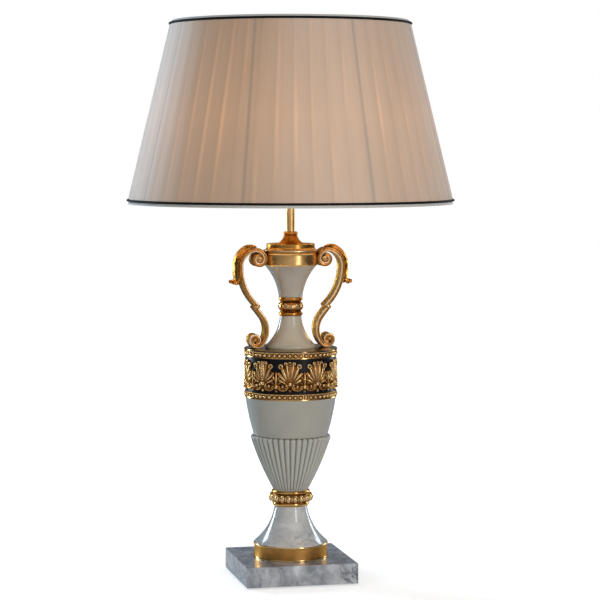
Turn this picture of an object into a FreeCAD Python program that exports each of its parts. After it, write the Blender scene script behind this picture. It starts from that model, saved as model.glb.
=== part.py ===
import FreeCAD, Part
import math
import os
import re
import Sketcher

# Column table lamp, in millimetres. +Z is up and the origin is the centre of the foot on the table.
# The lamp is a stack of turned pieces on a hollow rod, drawn tight between a nut under the base
# and the lampholder at the top. The shade's frame is clamped on the lampholder.

doc = FreeCAD.newDocument("ColumnTableLamp")
sheet = doc.addObject("Spreadsheet::Sheet", "Sizes")

SIZES = [
    # rod and clearances
    ("rod_radius", 5),
    ("rod_bore_radius", 3.5),
    ("rod_clearance", 0.2),
    ("thread_clearance", 0.05),
    ("slip_fit", 0.1),
    ("soft_gap", 0.3),
    ("cut_beyond", 1),
    # square base
    ("pad_radius", 8),
    ("pad_height", 2),
    ("pad_inset", 20),
    ("base_side", 156),
    ("base_height", 28),
    ("base_edge_round", 1),
    ("recess_radius", 20),
    ("recess_depth", 14),
    ("channel_radius", 5.5),
    ("channel_above_pads", 8),
    ("bush_bore_radius", 4),
    ("bush_length", 22),
    ("bush_flange_radius", 8),
    ("bush_flange_thickness", 1.6),
    ("washer_radius", 17),
    ("washer_thickness", 2),
    ("lock_washer_radius", 9),
    ("lock_washer_thickness", 0.8),
    ("nut_across_flats", 17),
    ("nut_height", 4),
    ("rod_tail", 2),
    # foot ring and pedestal
    ("foot_ring_radius", 51.7),
    ("foot_ring_height", 19.8),
    ("foot_ring_waist", 50.8),
    ("foot_ring_lip", 2.4),
    ("foot_ring_wall", 2.6),
    ("pedestal_foot_radius", 50.6),
    ("pedestal_foot_edge", 1.7),
    ("pedestal_top_radius", 22.7),
    ("pedestal_height", 51.8),
    ("pedestal_sweep", 76.8),
    # gilt collar under the cup
    ("collar_radius", 25.4),
    ("collar_lower_height", 5.9),
    ("collar_leaf_height", 11.5),
    ("collar_leaf_radius", 31.6),
    ("collar_leaf_middle", 5.2),
    ("collar_leaf_sweep", 11.5),
    ("collar_upper_height", 4.5),
    ("collar_upper_radius", 26.6),
    ("collar_crown", 1.4),
    # urn
    ("urn_wall", 4),
    ("urn_floor", 8),
    ("cup_foot_radius", 23.6),
    ("cup_rim_radius", 54.9),
    ("cup_rim_band", 4),
    ("cup_rim_round", 1),
    ("cup_height", 77.5),
    ("cup_sweep", 392),
    ("flute_count", 40),
    ("flute_depth", 1.6),
    ("flute_width", 1.4),
    ("bowl_foot_radius", 51.5),
    ("bowl_rim_radius", 63),
    ("bowl_height", 53.3),
    ("bowl_sweep", 338),
    ("bead_ring_radius", 64),
    ("bead_ring_height", 9.3),
    ("bead_ring_edge", 1),
    ("bead_radius", 2.3),
    ("bead_proud", 1.5),
    ("bead_count", 54),
    ("drum_inner_radius", 57),
    ("drum_radius", 62.4),
    ("drum_height", 47.8),
    ("frieze_thickness", 3),
    ("frieze_margin", 2.2),
    ("palmette_count", 10),
    ("palmette_turn", 4.6),
    ("notch_width", 19),
    ("notch_waist", 9),
    ("notch_depth", 17),
    ("shoulder_radius", 64.9),
    ("shoulder_spigot", 3),
    ("shoulder_rim", 1.8),
    ("shoulder_edge_round", 0.9),
    # neck
    ("lower_neck_foot_radius", 35.4),
    ("lower_neck_foot_height", 4),
    ("lower_neck_base_radius", 34),
    ("lower_neck_top_radius", 14.8),
    ("lower_neck_height", 44.3),
    ("lower_neck_sweep", 60),
    ("knot_radius", 16.8),
    ("knot_ring_height", 5),
    ("knot_crown", 1.5),
    ("knot_leaf_radius", 18.4),
    ("knot_leaf_core", 15.2),
    ("knot_leaf_edge", 1.2),
    ("knot_leaf_height", 16),
    ("upper_neck_foot_radius", 16.5),
    ("upper_neck_rim_radius", 36),
    ("upper_neck_height", 43.7),
    ("upper_neck_sweep", 76.4),
    # brass cap and stem
    ("cap_radius", 36.8),
    ("cap_height", 17.4),
    ("cap_wall", 2.5),
    ("cap_edge", 1.2),
    ("lid_radius", 37.6),
    ("lid_rim_height", 4.4),
    ("lid_cove_height", 3),
    ("lid_cove_radius", 4.5),
    ("lid_step_radius", 33.4),
    ("lid_edge_round", 1),
    ("lid_height", 13),
    ("lid_shell", 2.5),
    ("cone_base_radius", 21),
    ("cone_waist_radius", 15.2),
    ("cone_waist_height", 2),
    ("cone_flare_radius", 14),
    ("cone_top_radius", 9.4),
    ("cone_height", 11.4),
    ("cone_sweep", 16),
    ("knop_radius", 10),
    ("knop_height", 5.2),
    ("knop_crown", 1.6),
    ("stem_radius", 6),
    ("stem_height", 54.5),
    # cast handles, as arcs that run smoothly one into the next, with sweeps and angles in degrees
    ("strap_thickness", 6),
    ("strap_depth", 28),
    ("eye_proud", 1.4),
    ("eye_overlap", 0.4),
    ("saddle_gap", 0.05),
    ("saddle_depth", 1.9),
    ("upper_curl_rise", 1.2),
    ("upper_curl_radius", 8.2),
    ("upper_curl_start", 163),
    ("upper_curl_sweep", 150.8),
    ("upper_crown_radius", 13.9),
    ("upper_crown_sweep", 86.5),
    ("upper_bend_radius", 22.5),
    ("upper_bend_sweep", 75.6),
    ("upper_fall_radius", 75.3),
    ("upper_fall_sweep", 47),
    ("lower_bowl_place", 49.4),
    ("lower_bowl_radius", 8.6),
    ("lower_bowl_start", 220.4),
    ("lower_bowl_sweep", 139),
    ("lower_fall_radius", 30),
    ("lower_fall_sweep", 76),
    ("lower_lead_radius", 200),
    ("lower_lead_sweep", 4.8),
    ("lower_curl_radius", 5.4),
    ("lower_curl_sweep", 190),
    ("leaf_thickness", 4.2),
    ("leaf_width", 25),
    ("leaf_gap", 0.2),
    ("leaf_crown_sweep", 20),
    ("leaf_fall_sweep", 17),
    ("leaf_tip_radius", 4.2),
    ("leaf_tip_sweep", 100),
    ("screw_radius", 1.9),
    ("screw_head_radius", 3.5),
    ("screw_head_height", 2.2),
    ("screw_reach", 9),
    # lampholder
    ("holder_radius", 19.5),
    ("holder_wall", 1.6),
    ("holder_base_height", 18),
    ("holder_dome_rise", 12),
    ("holder_neck_radius", 9.5),
    ("rod_grip", 8),
    ("holder_shell_height", 54),
    ("insulator_floor", 22),
    ("insulator_wall", 2.6),
    ("screw_shell_radius", 13.6),
    ("screw_shell_wall", 0.5),
    ("screw_shell_height", 25),
    ("contact_radius", 3),
    ("contact_rise", 3),
    # shade rings, fitter ring and bulb
    ("shade_seat_height", 16),
    ("shade_nut_height", 4.2),
    ("shade_nut_radius", 28),
    ("shade_nut_grips", 24),
    ("shade_nut_grip_radius", 1.3),
    ("fitter_thickness", 1.6),
    ("fitter_inner_radius", 20.4),
    ("fitter_outer_radius", 29.5),
    ("bulb_tip_radius", 4.6),
    ("bulb_tip_height", 2.2),
    ("bulb_foot_height", 4),
    ("bulb_cap_radius", 13.2),
    ("bulb_cap_wall", 0.5),
    ("bulb_cap_height", 24),
    ("bulb_neck_radius", 12.4),
    ("bulb_radius", 30),
    ("bulb_height", 104),
    ("bulb_shoulder_sweep", 62),
    ("glass_wall", 0.8),
    ("filament_radius", 0.5),
    ("filament_height", 42),
    ("filament_half_span", 9),
    # shade
    ("shade_bottom", 522),
    ("shade_height", 251.4),
    ("cover_bottom_radius", 225.3),
    ("cover_top_radius", 167.2),
    ("cover_thickness", 3),
    ("bottom_band_height", 7),
    ("top_band_height", 6),
    ("band_thickness", 0.5),
    ("piping_radius", 1.6),
    ("bottom_piping_rise", 5.2),
    ("top_piping_drop", 4.2),
    ("frame_wire_radius", 1.2),
    ("lining_thickness", 0.5),
    ("rib_count", 8),
    ("first_rib_angle", 16.4),
    ("spoke_count", 3),
    ("first_spoke_angle", 61.4),
]

for row, (alias, number) in enumerate(SIZES, start=1):
    cell = "A%d" % row
    sheet.set(cell, str(number))
    sheet.setAlias(cell, alias)
doc.recompute()

ALIASES = {alias for alias, number in SIZES}
UP = FreeCAD.Vector(0, 0, 1)
written = []


def linked(expression):
    """Turns plain size names into references to the sheet."""
    return re.sub(r"[a-z_]+", lambda word: "Sizes." + word[0] if word[0] in ALIASES else word[0], expression)


def size(expression):
    """The number that an expression on the sheet's sizes has now."""
    return float(sheet.evalExpression(linked(expression)))


def bind(thing, path, expression):
    thing.setExpression(path, linked(expression))


def keep(thing, label):
    """Names a sub-part and puts it on the list of those to write."""
    thing.Label = label
    written.append(thing)
    return thing


def new_body(label, seat="0"):
    """An empty body that stands at the height of its seat."""
    body = doc.addObject("PartDesign::Body", "Body_" + label)
    bind(body, "Placement.Base.z", seat)
    return keep(body, label)


def new_sketch(body, plane, name):
    """A sketch on one of its own body's origin planes."""
    sketch = body.newObject("Sketcher::SketchObject", name)
    support = [item for item in body.Origin.OriginFeatures if item.Role == plane][0]
    sketch.AttachmentSupport = [(support, "")]
    sketch.MapMode = "FlatFace"
    return sketch


def pin_point(sketch, geometry, end, across, along):
    """Holds one end of a sketch line at a place worked out from the sheet."""
    for direction, axis, expression in (("DistanceX", -2, across), ("DistanceY", -1, along)):
        if expression == "0":
            sketch.addConstraint(Sketcher.Constraint("PointOnObject", geometry, end, axis))
            continue
        held = Sketcher.Constraint(direction, -1, 1, geometry, end, size(expression))
        index = sketch.addConstraint(held)
        bind(sketch, "Constraints[%d]" % index, expression)


def arc_between(start, end, radius, bulges):
    """The short arc from start to end. One that bulges has its centre to the left of the way it runs."""
    chord = end - start
    rise = math.sqrt(max(radius**2 - (chord.Length / 2)**2, 0))
    left = FreeCAD.Vector(-chord.y, chord.x, 0).normalize()
    centre = (start + end) * 0.5 + left * (rise if bulges else -rise)
    first, last = (start, end) if bulges else (end, start)
    angles = [math.atan2(point.y - centre.y, point.x - centre.x) for point in (first, last)]
    if angles[1] < angles[0]:
        angles[1] += 2 * math.pi
    return Part.ArcOfCircle(Part.Circle(centre, UP, radius), angles[0], angles[1])


def draw_outline(sketch, corners):
    """
    Draws a closed outline. Each corner is (across, along), joined to the last one by a line, or
    (across, along, radius, kind) joined by an arc, where the kind is "out" or "in" for a surface that
    bulges or hollows when the outline runs anticlockwise.
    """
    places = [FreeCAD.Vector(size(corner[0]), size(corner[1]), 0) for corner in corners]
    ends = []
    for number, corner in enumerate(corners):
        start, end = places[number - 1], places[number]
        if len(corner) == 2:
            ends.append((sketch.addGeometry(Part.LineSegment(start, end)), 1, 2))
            continue
        bulges = corner[3] == "out"
        geometry = sketch.addGeometry(arc_between(start, end, size(corner[2]), bulges))
        ends.append((geometry,) + ((1, 2) if bulges else (2, 1)))
    for number, (geometry, first, last) in enumerate(ends):
        before, other, before_last = ends[number - 1]
        sketch.addConstraint(Sketcher.Constraint("Coincident", before, before_last, geometry, first))
        pin_point(sketch, geometry, last, corners[number][0], corners[number][1])
        if len(corners[number]) > 2:
            index = sketch.addConstraint(Sketcher.Constraint("Radius", geometry, size(corners[number][2])))
            bind(sketch, "Constraints[%d]" % index, corners[number][2])


def draw_circle(sketch, across, along, radius):
    centre = FreeCAD.Vector(size(across), size(along), 0)
    geometry = sketch.addGeometry(Part.Circle(centre, UP, size(radius)))
    pin_point(sketch, geometry, 3, across, along)
    index = sketch.addConstraint(Sketcher.Constraint("Radius", geometry, size(radius)))
    bind(sketch, "Constraints[%d]" % index, radius)


def turned(label, seat, corners):
    """A body of revolution about the lamp's axis, from its outline as (radius, height) corners."""
    body = new_body(label, seat)
    sketch = new_sketch(body, "XZ_Plane", "Outline_" + label)
    draw_outline(sketch, corners)
    doc.recompute()
    turn = body.newObject("PartDesign::Revolution", "Turn_" + label)
    turn.Profile = sketch
    turn.ReferenceAxis = (sketch, ["V_Axis"])
    turn.Angle = 360
    doc.recompute()
    return body


def tube(label, seat, inner, outer, height):
    """A plain turned sleeve, washer or disc with a hole."""
    return turned(label, seat, [(inner, "0"), (outer, "0"), (outer, height), (inner, height)])


def cut_pattern(body, feature, count):
    """Repeats a feature round the body's own axis and makes the pattern the body's result."""
    pattern = body.newObject("PartDesign::PolarPattern", "Pattern_" + feature.Name)
    pattern.Originals = [feature]
    pattern.Axis = ([item for item in body.Origin.OriginFeatures if item.Role == "Z_Axis"][0], [""])
    pattern.Angle = 360
    bind(pattern, "Occurrences", count)
    body.Tip = pattern
    doc.recompute()
    return pattern


def group(label, members):
    """Identical pieces kept in one node as separate solids."""
    together = doc.addObject("Part::Compound", "Group_" + label)
    together.Links = members
    doc.recompute()
    return keep(together, label)


def rod_between(name, radius, start, end):
    """A round wire or shank between two places, each given as three expressions."""
    first = FreeCAD.Vector(*[size(item) for item in start])
    last = FreeCAD.Vector(*[size(item) for item in end])
    shank = doc.addObject("Part::Cylinder", name)
    bind(shank, "Radius", radius)
    steps = ["((%s) - (%s))^2" % (far, near) for near, far in zip(start, end)]
    bind(shank, "Height", "sqrt(%s)" % " + ".join(steps))
    shank.Placement = FreeCAD.Placement(first, FreeCAD.Rotation(UP, last - first))
    for letter, expression in zip("xyz", start):
        bind(shank, "Placement.Base." + letter, expression)
    return shank


# Levels up the stack. Each piece stands on the one before it.

STACK = [
    ("marble_base", "base_height"),
    ("foot_ring", "foot_ring_height"),
    ("pedestal", "pedestal_height"),
    ("collar_lower_ring", "collar_lower_height"),
    ("collar_leaf_band", "collar_leaf_height"),
    ("collar_upper_ring", "collar_upper_height"),
    ("fluted_cup", "cup_height"),
    ("urn_bowl", "bowl_height"),
    ("lower_bead_ring", "bead_ring_height"),
    ("frieze_band", "drum_height"),
    ("upper_bead_ring", "bead_ring_height"),
    ("shoulder_rim", "shoulder_rim"),
    ("lower_neck", "lower_neck_height"),
    ("knot_lower_ring", "knot_ring_height"),
    ("knot_leaf_band", "knot_leaf_height"),
    ("knot_upper_ring", "knot_ring_height"),
    ("upper_neck", "upper_neck_height"),
    ("cap_band", "cap_height"),
    ("cap_lid", "lid_height"),
    ("lid_cone", "cone_height"),
    ("knop_ring", "knop_height"),
    ("stem_tube", "stem_height"),
    ("holder_base", "holder_base_height"),
    ("holder_shell", "holder_shell_height"),
]
SEAT = {}
level = "pad_height"
for piece, height in STACK:
    SEAT[piece] = level
    level = level + " + " + height
BORE = "rod_radius + rod_clearance"


def crowned_ring(label, outer, height, crown):
    """A turned ring on the rod whose edge swells to its full radius half way up."""
    edge_radius = "((%s)^2 / 4 + (%s)^2) / (2 * %s)" % (height, crown, crown)
    return turned(label, SEAT[label], [
        (BORE, "0"),
        ("%s - %s" % (outer, crown), "0"),
        ("%s - %s" % (outer, crown), height, edge_radius, "out"),
        (BORE, height),
    ])


# Marble base, with a recess underneath for the nut and a channel to the back for the flex

base = new_body("marble_base", SEAT["marble_base"])
base_plan = new_sketch(base, "XY_Plane", "BasePlan")
half_side = "base_side / 2"
draw_outline(base_plan, [
    ("-" + half_side, "-" + half_side),
    (half_side, "-" + half_side),
    (half_side, half_side),
    ("-" + half_side, half_side),
])
doc.recompute()
base_pad = base.newObject("PartDesign::Pad", "BasePad")
base_pad.Profile = base_plan
bind(base_pad, "Length", "base_height")
doc.recompute()
rod_plan = new_sketch(base, "XY_Plane", "RodPlan")
draw_circle(rod_plan, "0", "0", BORE)
doc.recompute()
rod_hole = base.newObject("PartDesign::Pocket", "RodHole")
rod_hole.Profile = rod_plan
bind(rod_hole, "Length", "base_height")
rod_hole.Reversed = True
doc.recompute()
recess_plan = new_sketch(base, "XY_Plane", "RecessPlan")
draw_circle(recess_plan, "0", "0", "recess_radius")
doc.recompute()
recess = base.newObject("PartDesign::Pocket", "Recess")
recess.Profile = recess_plan
bind(recess, "Length", "recess_depth")
recess.Reversed = True
doc.recompute()
channel_plan = new_sketch(base, "XZ_Plane", "ChannelPlan")
draw_circle(channel_plan, "0", "channel_above_pads", "channel_radius")
doc.recompute()
channel = base.newObject("PartDesign::Pocket", "Channel")
channel.Profile = channel_plan
bind(channel, "Length", half_side)
doc.recompute()
top_edges = [
    "Edge%d" % (number + 1)
    for number, edge in enumerate(channel.Shape.Edges)
    if edge.Curve.TypeId == "Part::GeomLine"
    and (edge.BoundBox.ZMin > size("base_height") / 2 or edge.BoundBox.ZLength > size("base_height") / 2)
]
base_round = base.newObject("PartDesign::Fillet", "BaseEdges")
base_round.Base = (channel, top_edges)
bind(base_round, "Radius", "base_edge_round")
doc.recompute()

pads = []
for number, (across, along) in enumerate(((-1, -1), (1, -1), (1, 1), (-1, 1))):
    pad = doc.addObject("Part::Cylinder", "Pad%d" % number)
    bind(pad, "Radius", "pad_radius")
    bind(pad, "Height", "pad_height")
    bind(pad, "Placement.Base.x", "%d * (base_side / 2 - pad_inset)" % across)
    bind(pad, "Placement.Base.y", "%d * (base_side / 2 - pad_inset)" % along)
    pads.append(pad)
group("foot_pads", pads)

bush = turned("cable_bush", SEAT["marble_base"] + " + channel_above_pads", [
    ("bush_bore_radius", "-bush_flange_thickness"),
    ("bush_flange_radius", "-bush_flange_thickness"),
    ("bush_flange_radius", "0"),
    ("channel_radius - slip_fit", "0"),
    ("channel_radius - slip_fit", "bush_length"),
    ("bush_bore_radius", "bush_length"),
])
bush.Placement.Rotation = FreeCAD.Rotation(FreeCAD.Vector(1, 0, 0), 90)
bind(bush, "Placement.Base.y", "base_side / 2")
bind(bush, "Placement.Base.z", SEAT["marble_base"] + " + channel_above_pads")

# Rod, washers and nut that hold the stack together

washer_seat = "pad_height + recess_depth - washer_thickness"
lock_seat = washer_seat + " - lock_washer_thickness"
nut_seat = lock_seat + " - nut_height"
rod_seat = nut_seat + " - rod_tail"
tube("base_washer", washer_seat, BORE, "washer_radius", "washer_thickness")
tube("lock_washer", lock_seat, BORE, "lock_washer_radius", "lock_washer_thickness")

nut = new_body("base_nut", nut_seat)
nut_plan = new_sketch(nut, "XY_Plane", "NutPlan")
nut_corner = "nut_across_flats / sqrt(3)"
draw_outline(nut_plan, [
    (nut_corner, "0"),
    (nut_corner + " / 2", "nut_across_flats / 2"),
    ("-%s / 2" % nut_corner, "nut_across_flats / 2"),
    ("-" + nut_corner, "0"),
    ("-%s / 2" % nut_corner, "-nut_across_flats / 2"),
    (nut_corner + " / 2", "-nut_across_flats / 2"),
])
draw_circle(nut_plan, "0", "0", "rod_radius + thread_clearance")
doc.recompute()
nut_pad = nut.newObject("PartDesign::Pad", "NutPad")
nut_pad.Profile = nut_plan
bind(nut_pad, "Length", "nut_height")
doc.recompute()

rod_top = SEAT["holder_base"] + " + rod_grip"
tube("tie_rod", rod_seat, "rod_bore_radius", "rod_radius", "(%s) - (%s)" % (rod_top, rod_seat))

# Brass foot ring, a hollow cup with a lip at each edge, and the marble pedestal on it

turned("foot_ring", SEAT["foot_ring"], [
    ("foot_ring_waist - foot_ring_wall", "0"),
    ("foot_ring_radius", "0"),
    ("foot_ring_radius", "foot_ring_lip", "foot_ring_lip", "out"),
    ("foot_ring_waist", "foot_ring_lip"),
    ("foot_ring_waist", "foot_ring_height - foot_ring_lip"),
    ("foot_ring_radius", "foot_ring_height - foot_ring_lip"),
    ("foot_ring_radius", "foot_ring_height", "foot_ring_lip", "out"),
    (BORE, "foot_ring_height"),
    (BORE, "foot_ring_height - foot_ring_wall"),
    ("foot_ring_waist - foot_ring_wall", "foot_ring_height - foot_ring_wall"),
])
turned("pedestal", SEAT["pedestal"], [
    (BORE, "0"),
    ("pedestal_foot_radius", "0"),
    ("pedestal_foot_radius", "pedestal_foot_edge"),
    ("pedestal_top_radius", "pedestal_height", "pedestal_sweep", "in"),
    (BORE, "pedestal_height"),
])

# Gilt collar of two rings and a leaf band between them

crowned_ring("collar_lower_ring", "collar_radius", "collar_lower_height", "collar_crown")
turned("collar_leaf_band", SEAT["collar_leaf_band"], [
    (BORE, "0"),
    ("collar_radius - collar_crown", "0"),
    ("collar_leaf_radius", "collar_leaf_middle", "collar_leaf_sweep", "out"),
    ("collar_upper_radius - collar_crown", "collar_leaf_height", "collar_leaf_sweep", "out"),
    (BORE, "collar_leaf_height"),
])
crowned_ring("collar_upper_ring", "collar_upper_radius", "collar_upper_height", "collar_crown")

# Urn: fluted cup, plain bowl, bead rings, black drum and pierced frieze

cup = turned("fluted_cup", SEAT["fluted_cup"], [
    (BORE, "0"),
    ("cup_foot_radius", "0"),
    ("cup_rim_radius", "cup_height - cup_rim_band", "cup_sweep", "out"),
    ("cup_rim_radius - cup_rim_round", "cup_height", "cup_rim_band * 2", "out"),
    ("bowl_foot_radius - urn_wall", "cup_height"),
    ("cup_foot_radius - urn_wall", "urn_floor", "cup_sweep", "in"),
    (BORE, "urn_floor"),
])
flute_plan = new_sketch(cup, "XZ_Plane", "FlutePlan")
draw_outline(flute_plan, [
    ("cup_foot_radius - flute_depth / 3", "-cut_beyond"),
    ("cup_rim_radius", "-cut_beyond"),
    ("cup_rim_radius + flute_depth", "cup_height + cut_beyond"),
    ("cup_rim_radius - flute_depth", "cup_height + cut_beyond"),
    ("cup_rim_radius - flute_depth", "cup_height - cup_rim_band"),
    ("cup_foot_radius - flute_depth / 3", "0", "cup_sweep", "in"),
])
doc.recompute()
flute = cup.newObject("PartDesign::Pocket", "Flute")
flute.Profile = flute_plan
bind(flute, "Length", "flute_width")
flute.Midplane = True
doc.recompute()
cut_pattern(cup, flute, "flute_count")
turned("urn_bowl", SEAT["urn_bowl"], [
    ("bowl_foot_radius - urn_wall", "0", "bowl_sweep", "in"),
    ("bowl_foot_radius", "0"),
    ("bowl_rim_radius", "bowl_height", "bowl_sweep", "out"),
    ("bowl_rim_radius - urn_wall", "bowl_height"),
])


def bead_ring(label):
    """A gilt ring with a row of round beads standing out of its face."""
    body = turned(label, SEAT[label], [
        ("drum_inner_radius", "0"),
        ("bead_ring_radius - bead_ring_edge", "0"),
        ("bead_ring_radius", "bead_ring_edge"),
        ("bead_ring_radius", "bead_ring_height - bead_ring_edge"),
        ("bead_ring_radius - bead_ring_edge", "bead_ring_height"),
        ("drum_inner_radius", "bead_ring_height"),
    ])
    bead = body.newObject("PartDesign::AdditiveSphere", "Bead_" + label)
    bind(bead, "Radius", "bead_radius")
    bind(bead, "AttachmentOffset.Base.x", "bead_ring_radius + bead_proud - bead_radius")
    bind(bead, "AttachmentOffset.Base.z", "bead_ring_height / 2")
    plane = [item for item in body.Origin.OriginFeatures if item.Role == "XY_Plane"][0]
    bead.AttachmentSupport = [(plane, "")]
    bead.MapMode = "ObjectXY"
    doc.recompute()
    cut_pattern(body, bead, "bead_count")


bead_ring("lower_bead_ring")
tube("frieze_band", SEAT["frieze_band"], "drum_inner_radius", "drum_radius", "drum_height")
bead_ring("upper_bead_ring")

frieze_height = "drum_height - 2 * frieze_margin"
frieze = tube(
    "palmette_frieze",
    SEAT["frieze_band"] + " + frieze_margin",
    "drum_radius + slip_fit",
    "drum_radius + frieze_thickness",
    frieze_height,
)
frieze.Placement.Rotation = FreeCAD.Rotation(UP, size("palmette_turn"))
notch_plan = new_sketch(frieze, "XZ_Plane", "NotchPlan")
draw_outline(notch_plan, [
    ("0", frieze_height + " - notch_depth", "notch_depth", "in"),
    ("notch_waist / 2", frieze_height + " - notch_depth / 2", "notch_depth", "in"),
    ("notch_width / 2", frieze_height + " + cut_beyond", "notch_depth", "out"),
    ("-notch_width / 2", frieze_height + " + cut_beyond"),
    ("-notch_waist / 2", frieze_height + " - notch_depth / 2", "notch_depth", "out"),
])
doc.recompute()
notch = frieze.newObject("PartDesign::Pocket", "Notch")
notch.Profile = notch_plan
bind(notch, "Length", "drum_radius + 2 * frieze_thickness")
notch.Reversed = True
doc.recompute()
cut_pattern(frieze, notch, "palmette_count")

# Shoulder plate, with a spigot that sits inside the upper bead ring

shoulder_seat = SEAT["shoulder_rim"] + " - shoulder_spigot"
turned("shoulder_plate", shoulder_seat, [
    (BORE, "0"),
    ("drum_inner_radius - slip_fit", "0"),
    ("drum_inner_radius - slip_fit", "shoulder_spigot"),
    ("shoulder_radius", "shoulder_spigot"),
    ("shoulder_radius", "shoulder_spigot + shoulder_rim - shoulder_edge_round"),
    ("shoulder_radius - shoulder_edge_round", "shoulder_spigot + shoulder_rim", "shoulder_edge_round", "out"),
    (BORE, "shoulder_spigot + shoulder_rim"),
])

# Neck in two waisted pieces, with the gilt knot between them

turned("lower_neck", SEAT["lower_neck"], [
    (BORE, "0"),
    ("lower_neck_foot_radius", "0"),
    ("lower_neck_foot_radius", "lower_neck_foot_height", "lower_neck_foot_height", "out"),
    ("lower_neck_base_radius", "lower_neck_foot_height"),
    ("lower_neck_top_radius", "lower_neck_height", "lower_neck_sweep", "in"),
    (BORE, "lower_neck_height"),
])
crowned_ring("knot_lower_ring", "knot_radius", "knot_ring_height", "knot_crown")
leaf_swell = "(knot_leaf_radius - knot_leaf_core)"
half_swell = "(knot_leaf_height / 2 - knot_leaf_edge)"
turned("knot_leaf_band", SEAT["knot_leaf_band"], [
    (BORE, "0"),
    ("knot_leaf_core", "0"),
    ("knot_leaf_core", "knot_leaf_edge"),
    (
        "knot_leaf_core", "knot_leaf_height - knot_leaf_edge",
        "(%s^2 + %s^2) / (2 * %s)" % (half_swell, leaf_swell, leaf_swell), "out"
    ),
    ("knot_leaf_core", "knot_leaf_height"),
    (BORE, "knot_leaf_height"),
])
crowned_ring("knot_upper_ring", "knot_radius", "knot_ring_height", "knot_crown")
turned("upper_neck", SEAT["upper_neck"], [
    (BORE, "0"),
    ("upper_neck_foot_radius", "0"),
    ("upper_neck_rim_radius", "upper_neck_height", "upper_neck_sweep", "in"),
    (BORE, "upper_neck_height"),
])

# Brass cap, lid, cone, knop and stem

turned("cap_band", SEAT["cap_band"], [
    ("cap_radius - cap_wall", "0"),
    ("cap_radius - cap_edge / 2", "0"),
    ("cap_radius", "cap_edge"),
    ("cap_radius - cap_edge / 3", "cap_edge * 2"),
    ("cap_radius - cap_edge / 3", "cap_height - cap_edge * 2"),
    ("cap_radius", "cap_height - cap_edge"),
    ("cap_radius - cap_edge / 2", "cap_height"),
    ("cap_radius - cap_wall", "cap_height"),
])
turned("cap_lid", SEAT["cap_lid"], [
    ("cap_radius - cap_wall", "0"),
    ("lid_radius - lid_edge_round", "0"),
    ("lid_radius", "lid_rim_height", "lid_rim_height", "out"),
    ("lid_step_radius", "lid_rim_height + lid_cove_height", "lid_cove_radius", "in"),
    ("lid_step_radius", "lid_height - lid_edge_round"),
    ("lid_step_radius - lid_edge_round", "lid_height", "lid_edge_round", "out"),
    (BORE, "lid_height"),
    (BORE, "lid_height - lid_shell"),
    ("lid_step_radius - lid_shell", "lid_height - lid_shell"),
])
turned("lid_cone", SEAT["lid_cone"], [
    (BORE, "0"),
    ("cone_base_radius", "0"),
    ("cone_waist_radius", "cone_waist_height", "cone_flare_radius", "in"),
    ("cone_top_radius", "cone_height", "cone_sweep", "in"),
    (BORE, "cone_height"),
])
crowned_ring("knop_ring", "knop_radius", "knop_height", "knop_crown")
tube("stem_tube", SEAT["stem_tube"], BORE, "stem_radius", "stem_height")

# Handles. The middle line of the cast strap is one run of arcs with a step between its two scrolls.


def turn_point(centre, radius, angle):
    """The place on a circle at an angle in degrees."""
    spot = math.radians(angle)
    return centre + FreeCAD.Vector(math.cos(spot), math.sin(spot), 0) * radius


def draw_arc(sketch, centre, radius, first, last):
    """An arc drawn anticlockwise between two angles in degrees."""
    circle = Part.Circle(centre, UP, radius)
    return sketch.addGeometry(Part.ArcOfCircle(circle, math.radians(first), math.radians(last)))


def hold_arc(sketch, arc, radius, sweep):
    """Ties an arc's radius and the angle that it covers to the sheet."""
    index = sketch.addConstraint(Sketcher.Constraint("Radius", arc, size(radius)))
    bind(sketch, "Constraints[%d]" % index, radius)
    index = sketch.addConstraint(Sketcher.Constraint("Angle", arc, math.radians(size(sweep))))
    bind(sketch, "Constraints[%d]" % index, "(%s) * 1 deg" % sweep)


def anchor_arc(sketch, across, along, radius, start, sweep):
    """The first arc of a run, with its centre held in place, from its start angle anticlockwise."""
    centre = FreeCAD.Vector(size(across), size(along), 0)
    first, last = size(start), size(start) + size(sweep)
    arc = draw_arc(sketch, centre, size(radius), first, last)
    pin_point(sketch, arc, 3, across, along)
    hold_arc(sketch, arc, radius, sweep)
    steep = abs(math.sin(math.radians(first))) < abs(math.cos(math.radians(first)))
    direction, place, ratio = ("DistanceY", along, "sin") if steep else ("DistanceX", across, "cos")
    expression = "%s + (%s) * %s((%s) * 1 deg)" % (place, radius, ratio, start)
    index = sketch.addConstraint(Sketcher.Constraint(direction, -1, 1, arc, 1, size(expression)))
    bind(sketch, "Constraints[%d]" % index, expression)
    return {"arc": arc, "centre": centre, "radius": size(radius), "first": first, "last": last}


def extend_run(sketch, tail, leftwards, arcs):
    """
    Adds arcs that run smoothly on from one end of an arc: on from its last angle when the run turns
    leftwards, or back from its first. Each is (radius, sweep, bends the same way).
    """
    for radius, sweep, same in arcs:
        joint_angle = tail["last"] if leftwards else tail["first"]
        joint = turn_point(tail["centre"], tail["radius"], joint_angle)
        from_end = 2 if leftwards else 1
        if not same:
            joint_angle += 180
            leftwards = not leftwards
        centre = turn_point(joint, -size(radius), joint_angle)
        reach = size(sweep) if leftwards else -size(sweep)
        first, last = sorted((joint_angle, joint_angle + reach))
        arc = draw_arc(sketch, centre, size(radius), first, last)
        to_end = 1 if leftwards else 2
        sketch.addConstraint(Sketcher.Constraint("Tangent", tail["arc"], from_end, arc, to_end))
        hold_arc(sketch, arc, radius, sweep)
        tail = {"arc": arc, "centre": centre, "radius": size(radius), "first": first, "last": last}
    end = 2 if leftwards else 1
    place = turn_point(tail["centre"], tail["radius"], tail["last"] if leftwards else tail["first"])
    return tail["arc"], end, place


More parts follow.
